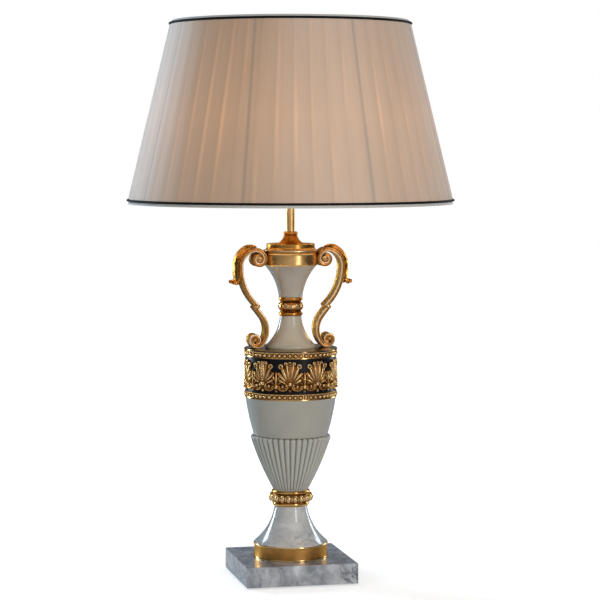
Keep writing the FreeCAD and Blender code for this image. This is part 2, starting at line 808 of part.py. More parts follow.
def front_sketch(name):
    """A sketch in the upright plane through both handles."""
    sketch = doc.addObject("Sketcher::SketchObject", name)
    upright = FreeCAD.Rotation(FreeCAD.Vector(1, 0, 0), 90)
    sketch.Placement = FreeCAD.Placement(FreeCAD.Vector(), upright)
    return sketch


def strap(name, sketch, thickness, depth):
    """A solid strap of even thickness along a sketched line, as deep as the casting."""
    outline = doc.addObject("Part::Offset2D", name + "Outline")
    outline.Source = sketch
    outline.Mode = "Pipe"
    outline.Join = "Arc"
    outline.Fill = True
    bind(outline, "Value", "(%s) / 2" % thickness)
    solid = doc.addObject("Part::Extrusion", name)
    solid.Base = outline
    solid.DirMode = "Normal"
    solid.Solid = True
    solid.Symmetric = True
    bind(solid, "LengthFwd", depth)
    doc.recompute()
    return solid


def crosswise_boss(name, across, along, radius, depth):
    """A round boss through the strap, from its front to its back."""
    boss = doc.addObject("Part::Cylinder", name)
    bind(boss, "Radius", radius)
    bind(boss, "Height", depth)
    boss.Placement.Rotation = FreeCAD.Rotation(FreeCAD.Vector(1, 0, 0), 90)
    bind(boss, "Placement.Base.x", across)
    bind(boss, "Placement.Base.y", "(%s) / 2" % depth)
    bind(boss, "Placement.Base.z", along)
    return boss


def upright_post(name, radius, seat, height):
    """A plain cylinder on the lamp's axis."""
    post = doc.addObject("Part::Cylinder", name)
    bind(post, "Radius", radius)
    bind(post, "Height", height)
    bind(post, "Placement.Base.z", seat)
    return post


def joined(kind, name, pieces):
    """A union of several pieces, or the first with the rest cut away."""
    result = doc.addObject(kind, name)
    if kind == "Part::MultiFuse":
        result.Shapes = pieces
    else:
        result.Base, result.Tool = pieces
    doc.recompute()
    return result


def mirrored(source, name, label):
    """The left-hand twin of a right-hand piece."""
    twin = doc.addObject("Part::Mirroring", name)
    twin.Source = source
    twin.Normal = FreeCAD.Vector(1, 0, 0)
    doc.recompute()
    return keep(twin, label)


shoulder_top = SEAT["lower_neck"]
curl_across = "cap_radius + saddle_gap - saddle_depth + strap_thickness / 2 + upper_curl_radius"
curl_along = SEAT["cap_band"] + " + cap_height / 2 + upper_curl_rise"
bowl_along = shoulder_top + " + saddle_gap + strap_thickness / 2 + lower_bowl_radius"

handle_line = front_sketch("HandleLine")
upper_curl = anchor_arc(
    handle_line, curl_across, curl_along, "upper_curl_radius", "upper_curl_start", "upper_curl_sweep"
)
upper_end = extend_run(handle_line, upper_curl, False, [
    ("upper_crown_radius", "upper_crown_sweep", True),
    ("upper_bend_radius", "upper_bend_sweep", True),
    ("upper_fall_radius", "upper_fall_sweep", True),
])
lower_bowl = anchor_arc(
    handle_line, "lower_bowl_place", bowl_along, "lower_bowl_radius", "lower_bowl_start", "lower_bowl_sweep"
)
lower_end = extend_run(handle_line, lower_bowl, False, [
    ("lower_fall_radius", "lower_fall_sweep", True),
    ("lower_lead_radius", "lower_lead_sweep", True),
])
extend_run(handle_line, lower_bowl, True, [("lower_curl_radius", "lower_curl_sweep", True)])
step_line = handle_line.addGeometry(Part.LineSegment(upper_end[2], lower_end[2]))
handle_line.addConstraint(Sketcher.Constraint("Coincident", step_line, 1, upper_end[0], upper_end[1]))
handle_line.addConstraint(Sketcher.Constraint("Coincident", step_line, 2, lower_end[0], lower_end[1]))
doc.recompute()

handle_strap = strap("HandleStrap", handle_line, "strap_thickness", "strap_depth")
eye_depth = "strap_depth + 2 * eye_proud"
curl_inside = "upper_curl_radius - strap_thickness / 2 + eye_overlap"
lower_inside = "lower_curl_radius - strap_thickness / 2 + eye_overlap"
lower_eye_across = "lower_bowl_place + (lower_bowl_radius - lower_curl_radius)" \
    " * cos((lower_bowl_start + lower_bowl_sweep) * 1 deg)"
lower_eye_along = bowl_along + " + (lower_bowl_radius - lower_curl_radius)" \
    " * sin((lower_bowl_start + lower_bowl_sweep) * 1 deg)"
upper_eye = crosswise_boss("UpperEye", curl_across, curl_along, curl_inside, eye_depth)
lower_eye = crosswise_boss("LowerEye", lower_eye_across, lower_eye_along, lower_inside, eye_depth)
handle_blank = joined("Part::MultiFuse", "HandleBlank", [handle_strap, upper_eye, lower_eye])

top_screw_along = SEAT["cap_band"] + " + cap_height / 2"
saddle = upright_post("Saddle", "cap_radius + saddle_gap", SEAT["upper_neck"], "upper_neck_height + cap_height")
hole_radius = "screw_radius + slip_fit"
band_inside = "sqrt((cap_radius - cap_wall)^2 - screw_head_radius^2) - slip_fit"
top_tip = "cap_radius + screw_reach"
bottom_head_level = shoulder_seat + " - slip_fit"
bottom_tip_level = shoulder_top + " + screw_reach"
top_hole = rod_between(
    "TopHole", hole_radius,
    ("cap_radius - cap_wall", "0", top_screw_along),
    (top_tip + " + slip_fit", "0", top_screw_along)
)
bottom_hole = rod_between(
    "BottomHole", hole_radius,
    ("lower_bowl_place", "0", shoulder_seat),
    ("lower_bowl_place", "0", bottom_tip_level + " + slip_fit")
)
handle_tools = joined("Part::MultiFuse", "HandleTools", [saddle, top_hole, bottom_hole])
handle_right = keep(joined("Part::Cut", "HandleRight", (handle_blank, handle_tools)), "handle_right")
mirrored(handle_right, "HandleLeft", "handle_left")

# The leaf that lies on the outside of each upper scroll, with its tip curled out

leaf_offset = "strap_thickness / 2 + leaf_gap + leaf_thickness / 2"
crown_shift = "(upper_crown_radius - upper_curl_radius)"
leaf_line = front_sketch("LeafLine")
leaf_crown = anchor_arc(
    leaf_line,
    "%s - %s * cos(upper_curl_start * 1 deg)" % (curl_across, crown_shift),
    "%s - %s * sin(upper_curl_start * 1 deg)" % (curl_along, crown_shift),
    "upper_crown_radius + " + leaf_offset,
    "upper_curl_start - upper_crown_sweep",
    "leaf_crown_sweep",
)
extend_run(leaf_line, leaf_crown, False, [
    ("upper_bend_radius + " + leaf_offset, "upper_bend_sweep", True),
    ("upper_fall_radius + " + leaf_offset, "leaf_fall_sweep", True),
    ("leaf_tip_radius", "leaf_tip_sweep", False),
])
doc.recompute()
leaf_right = keep(strap("LeafRight", leaf_line, "leaf_thickness", "leaf_width"), "handle_leaf_right")
mirrored(leaf_right, "LeafLeft", "handle_leaf_left")

# Handle screws: one through the cap band and one through the shoulder plate on each side


def screw(name, head, shank_start, tip):
    """A screw with a plain round head, from the head's outer end to the tip of the shank."""
    cap = rod_between(name + "Head", "screw_head_radius", head, shank_start)
    shank = rod_between(name + "Shank", "screw_radius", shank_start, tip)
    return joined("Part::MultiFuse", name, [cap, shank])


handle_screws = []
for side, word in ((1, "Right"), (-1, "Left")):
    handle_screws.append(screw(
        "TopScrew" + word,
        ("%d * (%s - screw_head_height)" % (side, band_inside), "0", top_screw_along),
        ("%d * (%s)" % (side, band_inside), "0", top_screw_along),
        ("%d * (%s)" % (side, top_tip), "0", top_screw_along),
    ))
    bottom = "%d * lower_bowl_place" % side
    handle_screws.append(screw(
        "BottomScrew" + word,
        (bottom, "0", bottom_head_level + " - screw_head_height"),
        (bottom, "0", bottom_head_level),
        (bottom, "0", bottom_tip_level),
    ))
group("handle_screws", handle_screws)


def screw_holes(label, plane, places):
    """Holes for the handle screws, right through a piece that is already turned."""
    body = [item for item in written if item.Label == label][0]
    hole_plan = new_sketch(body, plane, "HolePlan_" + label)
    for across, along in places:
        draw_circle(hole_plan, across, along, hole_radius)
    doc.recompute()
    holes = body.newObject("PartDesign::Pocket", "Holes_" + label)
    holes.Profile = hole_plan
    holes.Type = "ThroughAll"
    holes.Midplane = True
    doc.recompute()


screw_holes("cap_band", "YZ_Plane", [("0", "cap_height / 2")])
screw_holes("shoulder_plate", "XY_Plane", [("lower_bowl_place", "0"), ("-lower_bowl_place", "0")])

# Lampholder on top of the rod

holder_bottom = SEAT["holder_base"]
shell_bottom = SEAT["holder_shell"]
turned("holder_base", holder_bottom, [
    ("rod_radius + thread_clearance", "0"),
    ("holder_neck_radius", "0"),
    ("holder_radius", "holder_dome_rise", "holder_radius", "out"),
    ("holder_radius", "holder_base_height"),
    ("holder_radius - holder_wall", "holder_base_height"),
    ("holder_radius - holder_wall", "holder_dome_rise"),
    ("rod_radius + thread_clearance", "holder_dome_rise - holder_wall"),
])
tube("holder_shell", shell_bottom, "holder_radius - holder_wall", "holder_radius", "holder_shell_height")
insulator_radius = "holder_radius - holder_wall - slip_fit"
shell_outside = "screw_shell_radius + screw_shell_wall"
turned("holder_insulator", shell_bottom, [
    ("contact_radius + slip_fit", "0"),
    (insulator_radius, "0"),
    (insulator_radius, "holder_shell_height - holder_wall"),
    (insulator_radius + " - insulator_wall", "holder_shell_height - holder_wall"),
    (insulator_radius + " - insulator_wall", "insulator_floor"),
    ("contact_radius + slip_fit", "insulator_floor"),
])
insulator_top = shell_bottom + " + insulator_floor"
tube("holder_screw_shell", insulator_top, "screw_shell_radius", shell_outside, "screw_shell_height")
holder_contact = upright_post(
    "HolderContact", "contact_radius", shell_bottom + " + insulator_floor / 2", "insulator_floor / 2 + contact_rise"
)
keep(holder_contact, "holder_contact")

# Shade rings and the shade's fitter ring, which they clamp

shade_seat = shell_bottom + " + shade_seat_height"
nut_bore = "holder_radius + slip_fit"
tube("shade_ring_lower", shade_seat + " - shade_nut_height", nut_bore, "shade_nut_radius", "shade_nut_height")
tube("fitter_ring", shade_seat, "fitter_inner_radius", "fitter_outer_radius", "fitter_thickness")
upper_nut_seat = shade_seat + " + fitter_thickness + slip_fit"
shade_nut = tube("shade_ring_upper", upper_nut_seat, nut_bore, "shade_nut_radius", "shade_nut_height")
grip_plan = new_sketch(shade_nut, "XY_Plane", "GripPlan")
draw_circle(grip_plan, "shade_nut_radius + shade_nut_grip_radius / 3", "0", "shade_nut_grip_radius")
doc.recompute()
grip = shade_nut.newObject("PartDesign::Pocket", "Grip")
grip.Profile = grip_plan
bind(grip, "Length", "shade_nut_height")
grip.Reversed = True
doc.recompute()
cut_pattern(shade_nut, grip, "shade_nut_grips")

# Bulb: contact, insulating foot, screw cap, glass and filament

bulb_seat = insulator_top + " + contact_rise + slip_fit"
turned("bulb_contact", bulb_seat, [
    ("0", "0"),
    ("bulb_tip_radius / 2", "0"),
    ("bulb_tip_radius", "bulb_tip_height"),
    ("0", "bulb_tip_height"),
])
bulb_foot_seat = bulb_seat + " + bulb_tip_height + slip_fit"
cap_inside = "bulb_cap_radius - bulb_cap_wall"
turned("bulb_foot", bulb_foot_seat, [
    ("0", "0"),
    ("bulb_tip_radius", "0"),
    (cap_inside + " - slip_fit", "bulb_foot_height"),
    ("0", "bulb_foot_height"),
])
bulb_cap_seat = bulb_foot_seat + " + bulb_foot_height"
tube("bulb_cap", bulb_cap_seat, "bulb_neck_radius + slip_fit", "bulb_cap_radius", "bulb_cap_height")

glass_seat = bulb_cap_seat + " + slip_fit"
glass_top = "bulb_height - bulb_tip_height - bulb_foot_height"
globe_middle = glass_top + " - bulb_radius"
joint_across = "bulb_radius * sin(bulb_shoulder_sweep * 1 deg)"
joint_along = globe_middle + " - bulb_radius * cos(bulb_shoulder_sweep * 1 deg)"
inner_radius = "(bulb_radius - glass_wall)"
inner_across = inner_radius + " * sin(bulb_shoulder_sweep * 1 deg)"
inner_along = globe_middle + " - %s * cos(bulb_shoulder_sweep * 1 deg)" % inner_radius
turned("bulb_glass", glass_seat, [
    ("0", "0"),
    ("bulb_neck_radius", "0"),
    ("bulb_neck_radius", "bulb_cap_height"),
    (joint_across, joint_along, "bulb_radius * 2", "in"),
    ("bulb_radius", globe_middle, "bulb_radius", "out"),
    ("0", glass_top, "bulb_radius", "out"),
    ("0", glass_top + " - glass_wall"),
    (inner_radius, globe_middle, inner_radius, "in"),
    (inner_across, inner_along, inner_radius, "in"),
    ("bulb_neck_radius - glass_wall", "bulb_cap_height", "bulb_radius * 2 + glass_wall", "out"),
    ("bulb_neck_radius - glass_wall", "glass_wall"),
    ("0", "glass_wall"),
])
filament_seat = glass_seat + " + glass_wall"
filament_level = filament_seat + " + slip_fit + filament_height"
filament = []
for side, word in ((1, "Right"), (-1, "Left")):
    filament.append(rod_between(
        "Support" + word,
        "filament_radius",
        ("%d * filament_half_span" % side, "0", filament_seat + " + slip_fit"),
        ("%d * filament_half_span" % side, "0", filament_level),
    ))
filament.append(rod_between(
    "Coil", "filament_radius * 2",
    ("-filament_half_span", "0", filament_level), ("filament_half_span", "0", filament_level)
))
keep(joined("Part::MultiFuse", "Filament", filament), "bulb_filament")

# Shade. Its outside is one straight cone between a trimmed band at each rim.

cover_bottom = "shade_bottom + bottom_band_height"
cover_height = "(shade_height - bottom_band_height - top_band_height)"
cover_slope = "(cover_bottom_radius - cover_top_radius) / %s" % cover_height


def cone_radius(rise, inward):
    """The radius a given distance inside the cover's outer face, at a height above the cover's bottom."""
    return "(cover_bottom_radius - %s * (%s) - (%s))" % (cover_slope, rise, inward)


def cone_shell(label, seat, low, high, inward, thickness):
    """A thin conical sleeve that follows the cover, between two heights above the cover's bottom."""
    outer_low, outer_high = cone_radius(low, inward), cone_radius(high, inward)
    return turned(label, seat, [
        ("%s - %s" % (outer_low, thickness), "0"),
        (outer_low, "0"),
        (outer_high, "(%s) - (%s)" % (high, low)),
        ("%s - %s" % (outer_high, thickness), "(%s) - (%s)" % (high, low)),
    ])


wire_inward = "cover_thickness + soft_gap + frame_wire_radius"
band_inward = "cover_thickness + soft_gap - slip_fit - band_thickness"
lining_inward = wire_inward + " + frame_wire_radius + soft_gap"
bottom_low = "-bottom_band_height"
top_high = cover_height + " + top_band_height"
cone_shell("shade_cover", cover_bottom, "0", cover_height, "0", "cover_thickness")
cone_shell("bottom_tape", "shade_bottom", bottom_low, "-slip_fit", band_inward, "band_thickness")
cone_shell(
    "top_tape", cover_bottom + " + " + cover_height + " + slip_fit",
    cover_height + " + slip_fit", top_high, band_inward, "band_thickness"
)
ring_low = bottom_low + " + frame_wire_radius + soft_gap"
ring_high = top_high + " - frame_wire_radius - soft_gap"
lining_low = ring_low + " + frame_wire_radius + soft_gap"
lining_high = ring_high + " - frame_wire_radius - soft_gap"
cone_shell(
    "shade_lining", cover_bottom + " + " + lining_low,
    lining_low, lining_high, lining_inward, "lining_thickness"
)


def wire_ring(label, rise, inward, wire):
    """A ring of round wire or cord that follows the cone at one height."""
    ring = doc.addObject("Part::Torus", "Ring_" + label)
    bind(ring, "Radius1", cone_radius(rise, inward))
    bind(ring, "Radius2", wire)
    bind(ring, "Placement.Base.z", cover_bottom + " + " + rise)
    return keep(ring, label)


wire_ring("shade_bottom_ring", ring_low, wire_inward, "frame_wire_radius")
wire_ring("shade_top_ring", ring_high, wire_inward, "frame_wire_radius")
piping_inward = band_inward + " - piping_radius - soft_gap"
wire_ring("bottom_piping", bottom_low + " + bottom_piping_rise", piping_inward, "piping_radius")
wire_ring("top_piping", top_high + " - top_piping_drop", piping_inward, "piping_radius")


def fan(label, count, first_angle, radius, low, high):
    """Straight wires spaced evenly round the axis, each from one (radius, level) place to another."""
    wires = []
    for number in range(int(size(count))):
        angle = "(%s + %d * 360 / %s) * 1 deg" % (first_angle, number, count)
        ends = [
            ("%s * cos(%s)" % (place[0], angle), "%s * sin(%s)" % (place[0], angle), place[1])
            for place in (low, high)
        ]
        wires.append(rod_between("%s%d" % (label, number), radius, ends[0], ends[1]))
    return group(label, wires)


rib_low = ring_low + " + frame_wire_radius + slip_fit"
rib_high = ring_high + " - frame_wire_radius - slip_fit"
fan(
    "shade_ribs", "rib_count", "first_rib_angle", "frame_wire_radius",
    (cone_radius(rib_low, wire_inward), cover_bottom + " + " + rib_low),
    (cone_radius(rib_high, wire_inward), cover_bottom + " + " + rib_high),
)
spoke_reach = "frame_wire_radius * 2 + slip_fit"
fan(
    "shade_spokes", "spoke_count", "first_spoke_angle", "frame_wire_radius",
    ("(fitter_outer_radius + soft_gap)", shade_seat + " + fitter_thickness / 2"),
    ("(%s - %s)" % (cone_radius(ring_low, wire_inward), spoke_reach), cover_bottom + " + " + ring_low),
)

# Check every object, then write each piece

doc.recompute()
for thing in doc.Objects:
    if "Invalid" in thing.State or "Error" in thing.State:
        raise RuntimeError("%s is %s" % (thing.Label, thing.State))
os.makedirs("parts", exist_ok=True)
for piece in written:
    shape = piece.Shape
    if shape.isNull() or not shape.isValid() or not shape.Solids:
        raise RuntimeError("%s has no valid solid" % piece.Label)
for piece in written:
    piece.Shape.exportStep("parts/%s.step" % piece.Label)
    print("%-20s %2d solids %12.1f mm3" % (piece.Label, len(piece.Shape.Solids), piece.Shape.Volume))
print(len(written), "pieces written")
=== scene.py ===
# %% [markdown]
# # A classical column table lamp
#
# The lamp's turned, cast and bent parts come from a CAD model, which is loaded here as it is. This lesson
# adds what plain solids can't show: cast leaves, a reeded cup, a pierced frieze, pleated cloth and the
# finish of every surface. Each step says what the real piece is, and why it is made the way it is.

# %% Load the lamp
import math

import bpy
from mathutils import Matrix, Vector


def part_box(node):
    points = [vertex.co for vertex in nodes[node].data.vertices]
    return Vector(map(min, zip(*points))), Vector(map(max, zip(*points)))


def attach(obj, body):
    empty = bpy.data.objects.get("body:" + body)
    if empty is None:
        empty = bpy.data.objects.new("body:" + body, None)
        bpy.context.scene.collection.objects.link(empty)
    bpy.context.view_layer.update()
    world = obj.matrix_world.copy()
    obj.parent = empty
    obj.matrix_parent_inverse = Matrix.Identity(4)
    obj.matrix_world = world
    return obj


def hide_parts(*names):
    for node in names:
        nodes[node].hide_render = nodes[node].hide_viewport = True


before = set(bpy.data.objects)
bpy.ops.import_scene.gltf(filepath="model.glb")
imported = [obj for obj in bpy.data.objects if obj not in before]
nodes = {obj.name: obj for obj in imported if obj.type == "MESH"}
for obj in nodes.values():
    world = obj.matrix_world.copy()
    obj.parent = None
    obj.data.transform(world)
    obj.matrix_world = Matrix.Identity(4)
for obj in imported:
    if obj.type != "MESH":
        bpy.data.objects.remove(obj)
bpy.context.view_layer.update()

print("CAD nodes:", len(nodes))

# %% [markdown]
# ## The camera
#
# A product photographer stands back and uses a long lens, so that the shade's rim and the square base
# keep their true shapes. The camera stands a little to the left of the lamp, level with the lower part of
# the shade, and looks slightly down.

# %% The camera
camera_data = bpy.data.cameras.new("Camera")
camera_data.lens = 129.96
camera_data.sensor_width = 36
camera = bpy.data.objects.new("Camera", camera_data)
camera.location = (-0.6558, -2.9264, 0.6069)
camera.rotation_euler = (math.radians(85.83), 0, math.radians(-12.88))
bpy.context.scene.collection.objects.link(camera)
bpy.context.scene.camera = camera
print("Camera lens:", camera_data.lens)

# %% [markdown]
# ## Shader sums
#
# A finish is a network of nodes. Nodes are quick to read as sums, so a small class wraps a socket and adds
# a Math node for each sum it stands in. A second class holds one material and adds any other node.


# %% A socket that can stand in a sum
class Wire:
    """A shader socket. Each sum that it stands in adds a Math node."""

    def __init__(self, finish, socket):
        self.finish = finish
        self.socket = socket

    def sum(self, operation, *terms, clamp=False):
        settings = {"operation": operation, "use_clamp": clamp}
        return self.finish.add("Math", settings, dict(enumerate(terms)))

    def __add__(self, other):
        return self.sum("ADD", self, other)

    def __radd__(self, other):
        return self.sum("ADD", other, self)

    def __sub__(self, other):
        return self.sum("SUBTRACT", self, other)

    def __rsub__(self, other):
        return self.sum("SUBTRACT", other, self)

    def __mul__(self, other):
        return self.sum("MULTIPLY", self, other)

    def __rmul__(self, other):
        return self.sum("MULTIPLY", other, self)

    def __truediv__(self, other):
        return self.sum("DIVIDE", self, other)

    def __pow__(self, power):
        return self.sum("POWER", self, power)

    def __abs__(self):
        return self.sum("ABSOLUTE", self)

    def clamped(self):
        return self.sum("ADD", self, 0.0, clamp=True)

    def wave(self, repeats):
        """A smooth wave from 0 to 1 that repeats so many times over each unit."""
        return self.sum("COSINE", self * (2 * math.pi * repeats)) * 0.5 + 0.5


# %% A material that grows node by node
class Finish:
    """A material with one Principled shader. Each call of add makes one node."""

    def __init__(self, name, color, roughness, **constants):
        self.material = bpy.data.materials.new(name)
        self.material.use_nodes = True
        self.tree = self.material.node_tree
        self.shader = self.tree.nodes["Principled BSDF"]
        self.shader.inputs["Base Color"].default_value = (*color, 1)
        self.shader.inputs["Roughness"].default_value = roughness
        for socket, value in constants.items():
            self.shader.inputs[socket.replace("_", " ")].default_value = value
        self.place = self.add("TexCoord", {}, {}, "Object")

    def add(self, kind, settings, sockets, output=0):
        node = self.tree.nodes.new("ShaderNode" + kind)
        stops = settings.pop("stops", [])
        for setting, value in settings.items():
            setattr(node, setting, value)
        if stops:
            ramp = node.color_ramp.elements
            ramp[0].position, ramp[1].position = stops[0][0], stops[-1][0]
            ramp[0].color, ramp[1].color = (*stops[0][1], 1), (*stops[-1][1], 1)
            for position, colour in stops[1:-1]:
                ramp.new(position).color = (*colour, 1)
        for socket, value in sockets.items():
            if isinstance(value, Wire):
                self.tree.links.new(value.socket, node.inputs[socket])
            else:
                node.inputs[socket].default_value = value
        return Wire(self, node.outputs[output])

    def drive(self, socket, wire):
        """Links a wire to one of the shader's sockets."""
        self.tree.links.new(wire.socket, self.shader.inputs[socket])

    def ramp(self, factor, *stops):
        return self.add("ValToRGB", {"stops": list(stops)}, {"Fac": factor})

    def mixed(self, factor, first, second, blend="MIX"):
        """One colour turning into another."""
        first, second = [
            colour if isinstance(colour, Wire) else (*colour, 1) for colour in (first, second)
        ]
        settings = {"data_type": "RGBA", "blend_type": blend}
        return self.add("Mix", settings, {0: factor, 6: first, 7: second}, 2)

    def noise(self, scale, detail=3.0, roughness=0.5, at=None, stretch=None):
        """Soft random clouds from 0 to 1. The stretch draws them out along an axis."""
        at = at or self.place
        if stretch:
            at = self.add("VectorMath", {"operation": "MULTIPLY"}, {0: at, 1: stretch})
        sockets = {"Vector": at, "Scale": scale, "Detail": detail, "Roughness": roughness}
        return self.add("TexNoise", {}, sockets)

    def parts(self):
        """The place's X, Y and Z, each as a wire."""
        node = self.tree.nodes.new("ShaderNodeSeparateXYZ")
        self.tree.links.new(self.place.socket, node.inputs[0])
        return [Wire(self, socket) for socket in node.outputs]

    def turn(self):
        """The angle round the lamp's axis, from 0 to 1 for a full turn."""
        across, along, height = self.parts()
        return across.sum("ARCTAN2", along, across) / (2 * math.pi) + 0.5

    def bump(self, height, strength, distance=0.001):
        sockets = {"Height": height, "Strength": strength, "Distance": distance}
        self.drive("Normal", self.add("Bump", {}, sockets))


print("Shader classes ready")

# %% [markdown]
# ## The studio
#
# A shiny object is lit by what it mirrors. Two tall soft boxes stand a little behind the lamp, left and
# right, and draw a bright line down each edge. A narrow third one, right of the camera, puts a line near
# the middle. Three more lights don't show in reflections: a broad one fills the front, a weak one lifts the
# back, and a small one brightens the left of the shade.


# %% Soft boxes
def facing(place, aim):
    """The turn that points a light from its place to what it lights."""
    return (Vector(aim) - Vector(place)).to_track_quat("-Z", "Y").to_euler()


def softbox(name, place, width, height, power, colour, mirrored=True):
    """A soft box that the camera doesn't see. It shows in reflections only if it is mirrored."""
    light = bpy.data.lights.new(name, "AREA")
    light.shape = "RECTANGLE"
    light.size = width
    light.size_y = height
    light.energy = power
    light.color = colour
    box = bpy.data.objects.new(name, light)
    box.location = place
    box.rotation_euler = facing(place, lamp_middle)
    box.visible_camera = False
    box.visible_glossy = mirrored
    bpy.context.scene.collection.objects.link(box)
    return box


lamp_middle = (0, 0, 0.4)
softbox("LeftBox", (-1.3, 1.5, 0.8), 0.45, 1.5, 28, (0.68, 0.85, 1))
softbox("RightBox", (1.55, 0.9, 0.7), 0.4, 1.4, 10, (0.74, 0.88, 1))
softbox("KeyStrip", (0.76, -1.85, 0.7), 0.32, 1.3, 6, (1, 0.96, 0.9))
softbox("FrontFill", (0.2, -3.2, 0.6), 1.2, 0.9, 54, (1, 0.97, 0.93), mirrored=False)
softbox("BackFill", (0.4, 2.4, 1.2), 1.6, 1.0, 5, (1, 1, 1), mirrored=False)
softbox("ShadeFill", (-0.7, 0.1, 0.9), 0.3, 0.3, 1.3, (0.72, 0.87, 1), mirrored=False)

# %% [markdown]
# ## Room, floor and tent
#
# The room gives a little even light, but looks white to the camera, in gloss and through glass. The floor
# is pale, keeps the lamp's shadow and fades to white a little way off, so that no horizon shows. A real
# studio would hang cloth round something this shiny. The tent here does that and is seen by reflections
# alone. It is dark at its sides, which gives the metal its deep browns, and paler towards the camera, so
# that flat fronts don't go black.

# %% World
world = bpy.data.worlds.new("Studio")
bpy.context.scene.world = world
world.use_nodes = True
world_tree = world.node_tree
world_tree.nodes.clear()
rays = world_tree.nodes.new("ShaderNodeLightPath")
looks_white = rays.outputs["Is Camera Ray"]
for ray in ("Is Glossy Ray", "Is Transmission Ray"):
    either = world_tree.nodes.new("ShaderNodeMath")
    either.operation = "MAXIMUM"
    world_tree.links.new(looks_white, either.inputs[0])
    world_tree.links.new(rays.outputs[ray], either.inputs[1])
    looks_white = either.outputs[0]
chosen = world_tree.nodes.new("ShaderNodeMixShader")
world_tree.links.new(looks_white, chosen.inputs[0])
for socket, grey, strength in ((1, 0.8, 0.2), (2, 1, 1)):
    background = world_tree.nodes.new("ShaderNodeBackground")
    background.inputs["Color"].default_value = (grey, grey, grey, 1)
    background.inputs["Strength"].default_value = strength
    world_tree.links.new(background.outputs[0], chosen.inputs[socket])
world_output = world_tree.nodes.new("ShaderNodeOutputWorld")
world_tree.links.new(chosen.outputs[0], world_output.inputs[0])
print("World nodes:", len(world_tree.nodes))

# %% Floor
bpy.ops.object.select_all(action="DESELECT")
bpy.ops.mesh.primitive_plane_add(size=16)
floor = bpy.context.object
floor.name = "Floor"
floor_finish = Finish("PaleFloor", (0.8, 0.8, 0.8), 0.9, Specular_IOR_Level=0.1)
across, along, up = floor_finish.parts()
distance = (across * across + along * along) ** 0.5
far = ((distance - 0.35) / 0.9).clamped()
seen_by_camera = floor_finish.add("LightPath", {}, {}, "Is Camera Ray")
glow_colour = floor_finish.mixed(far, (0.55, 0.55, 0.55), (1, 1, 1))
floor_finish.drive("Emission Color", floor_finish.mixed(seen_by_camera, (0, 0, 0), glow_colour))
floor_finish.drive("Base Color", floor_finish.mixed(far, (0.8, 0.8, 0.8), (0.5, 0.5, 0.5)))
floor_finish.shader.inputs["Emission Strength"].default_value = 1
floor.data.materials.append(floor_finish.material)
print("Floor ready")

# %% The dark tent
bpy.ops.object.select_all(action="DESELECT")
tent_radius = 2.6
bpy.ops.mesh.primitive_cylinder_add(radius=tent_radius, depth=3.6, vertices=64, location=(0, 0, 1.75))
tent = bpy.context.object
tent.name = "Tent"
tent_finish = Finish("TentCloth", (0, 0, 0), 1.0, Specular_IOR_Level=0)
camera_turn = math.radians(-102.6)
camera_side = (math.cos(camera_turn), math.sin(camera_turn))
across, along, up = tent_finish.parts()
toward_camera = (across * camera_side[0] + along * camera_side[1]) / tent_radius
tent_stops = [
    (0.0, (0.17, 0.19, 0.22)), (0.12, (0.15, 0.17, 0.2)), (0.3, (0.06, 0.06, 0.06)),
    (0.6, (0.07, 0.06, 0.05)), (0.85, (0.3, 0.28, 0.25)), (1.0, (0.4, 0.38, 0.34)),
]
tent_glow = tent_finish.ramp(toward_camera * 0.5 + 0.5, *tent_stops)
tent_finish.drive("Emission Color", tent_glow)
tent_finish.shader.inputs["Emission Strength"].default_value = 1
tent.data.materials.append(tent_finish.material)
for ray in ("camera", "diffuse", "shadow", "transmission", "volume_scatter"):
    setattr(tent, "visible_" + ray, False)
print("Tent ready")

# %% [markdown]
# ## Working habits
#
# Blender's operators act on whatever is selected, so each piece starts by clearing the selection. What
# repeats is modelled once and copied. When a piece is done, its place goes into its mesh, it gets its
# finish, and it is told which part of the lamp it moves with.


# %% Selecting and settling
def take(piece):
    """Selects one piece alone."""
    bpy.ops.object.select_all(action="DESELECT")
    piece.select_set(True)
    bpy.context.view_layer.objects.active = piece
    return piece


def edit(piece):
    take(piece)
    bpy.ops.object.mode_set(mode="EDIT")
    bpy.ops.mesh.select_all(action="SELECT")


def leave():
    bpy.ops.mesh.select_all(action="SELECT")
    bpy.ops.mesh.normals_make_consistent(inside=False)
    bpy.ops.object.mode_set(mode="OBJECT")


def settle(piece):
    """Puts a piece's place, turn and scale into its mesh."""
    take(piece)
    bpy.ops.object.transform_apply(location=True, rotation=True, scale=True)
    return piece


print("Selecting helpers ready")


# %% Joining and copying
def joined(name, pieces):
    """Makes several pieces one mesh."""
    for piece in pieces:
        settle(piece)
    bpy.ops.object.select_all(action="DESELECT")
    for piece in pieces:
        piece.select_set(True)
    bpy.context.view_layer.objects.active = pieces[0]
    if len(pieces) > 1:
        bpy.ops.object.join()
    pieces[0].name = name
    pieces[0].data.name = name
    return pieces[0]


def copied(piece, matrix):
    """A copy with its own mesh, moved by a matrix."""
    twin = piece.copy()
    twin.data = piece.data.copy()
    twin.data.transform(matrix)
    if matrix.determinant() < 0:
        twin.data.flip_normals()
    bpy.context.scene.collection.objects.link(twin)
    return twin


def around(piece, count, first=0.0):
    """Copies a piece evenly round the lamp's axis, from a first angle in degrees, as one mesh."""
    settle(piece)
    name = piece.name
    copies = []
    for number in range(count):
        angle = math.radians(first + number * 360 / count)
        copies.append(copied(piece, Matrix.Rotation(angle, 4, "Z")))
    bpy.data.objects.remove(piece)
    return joined(name, copies)


print("Copying helpers ready")


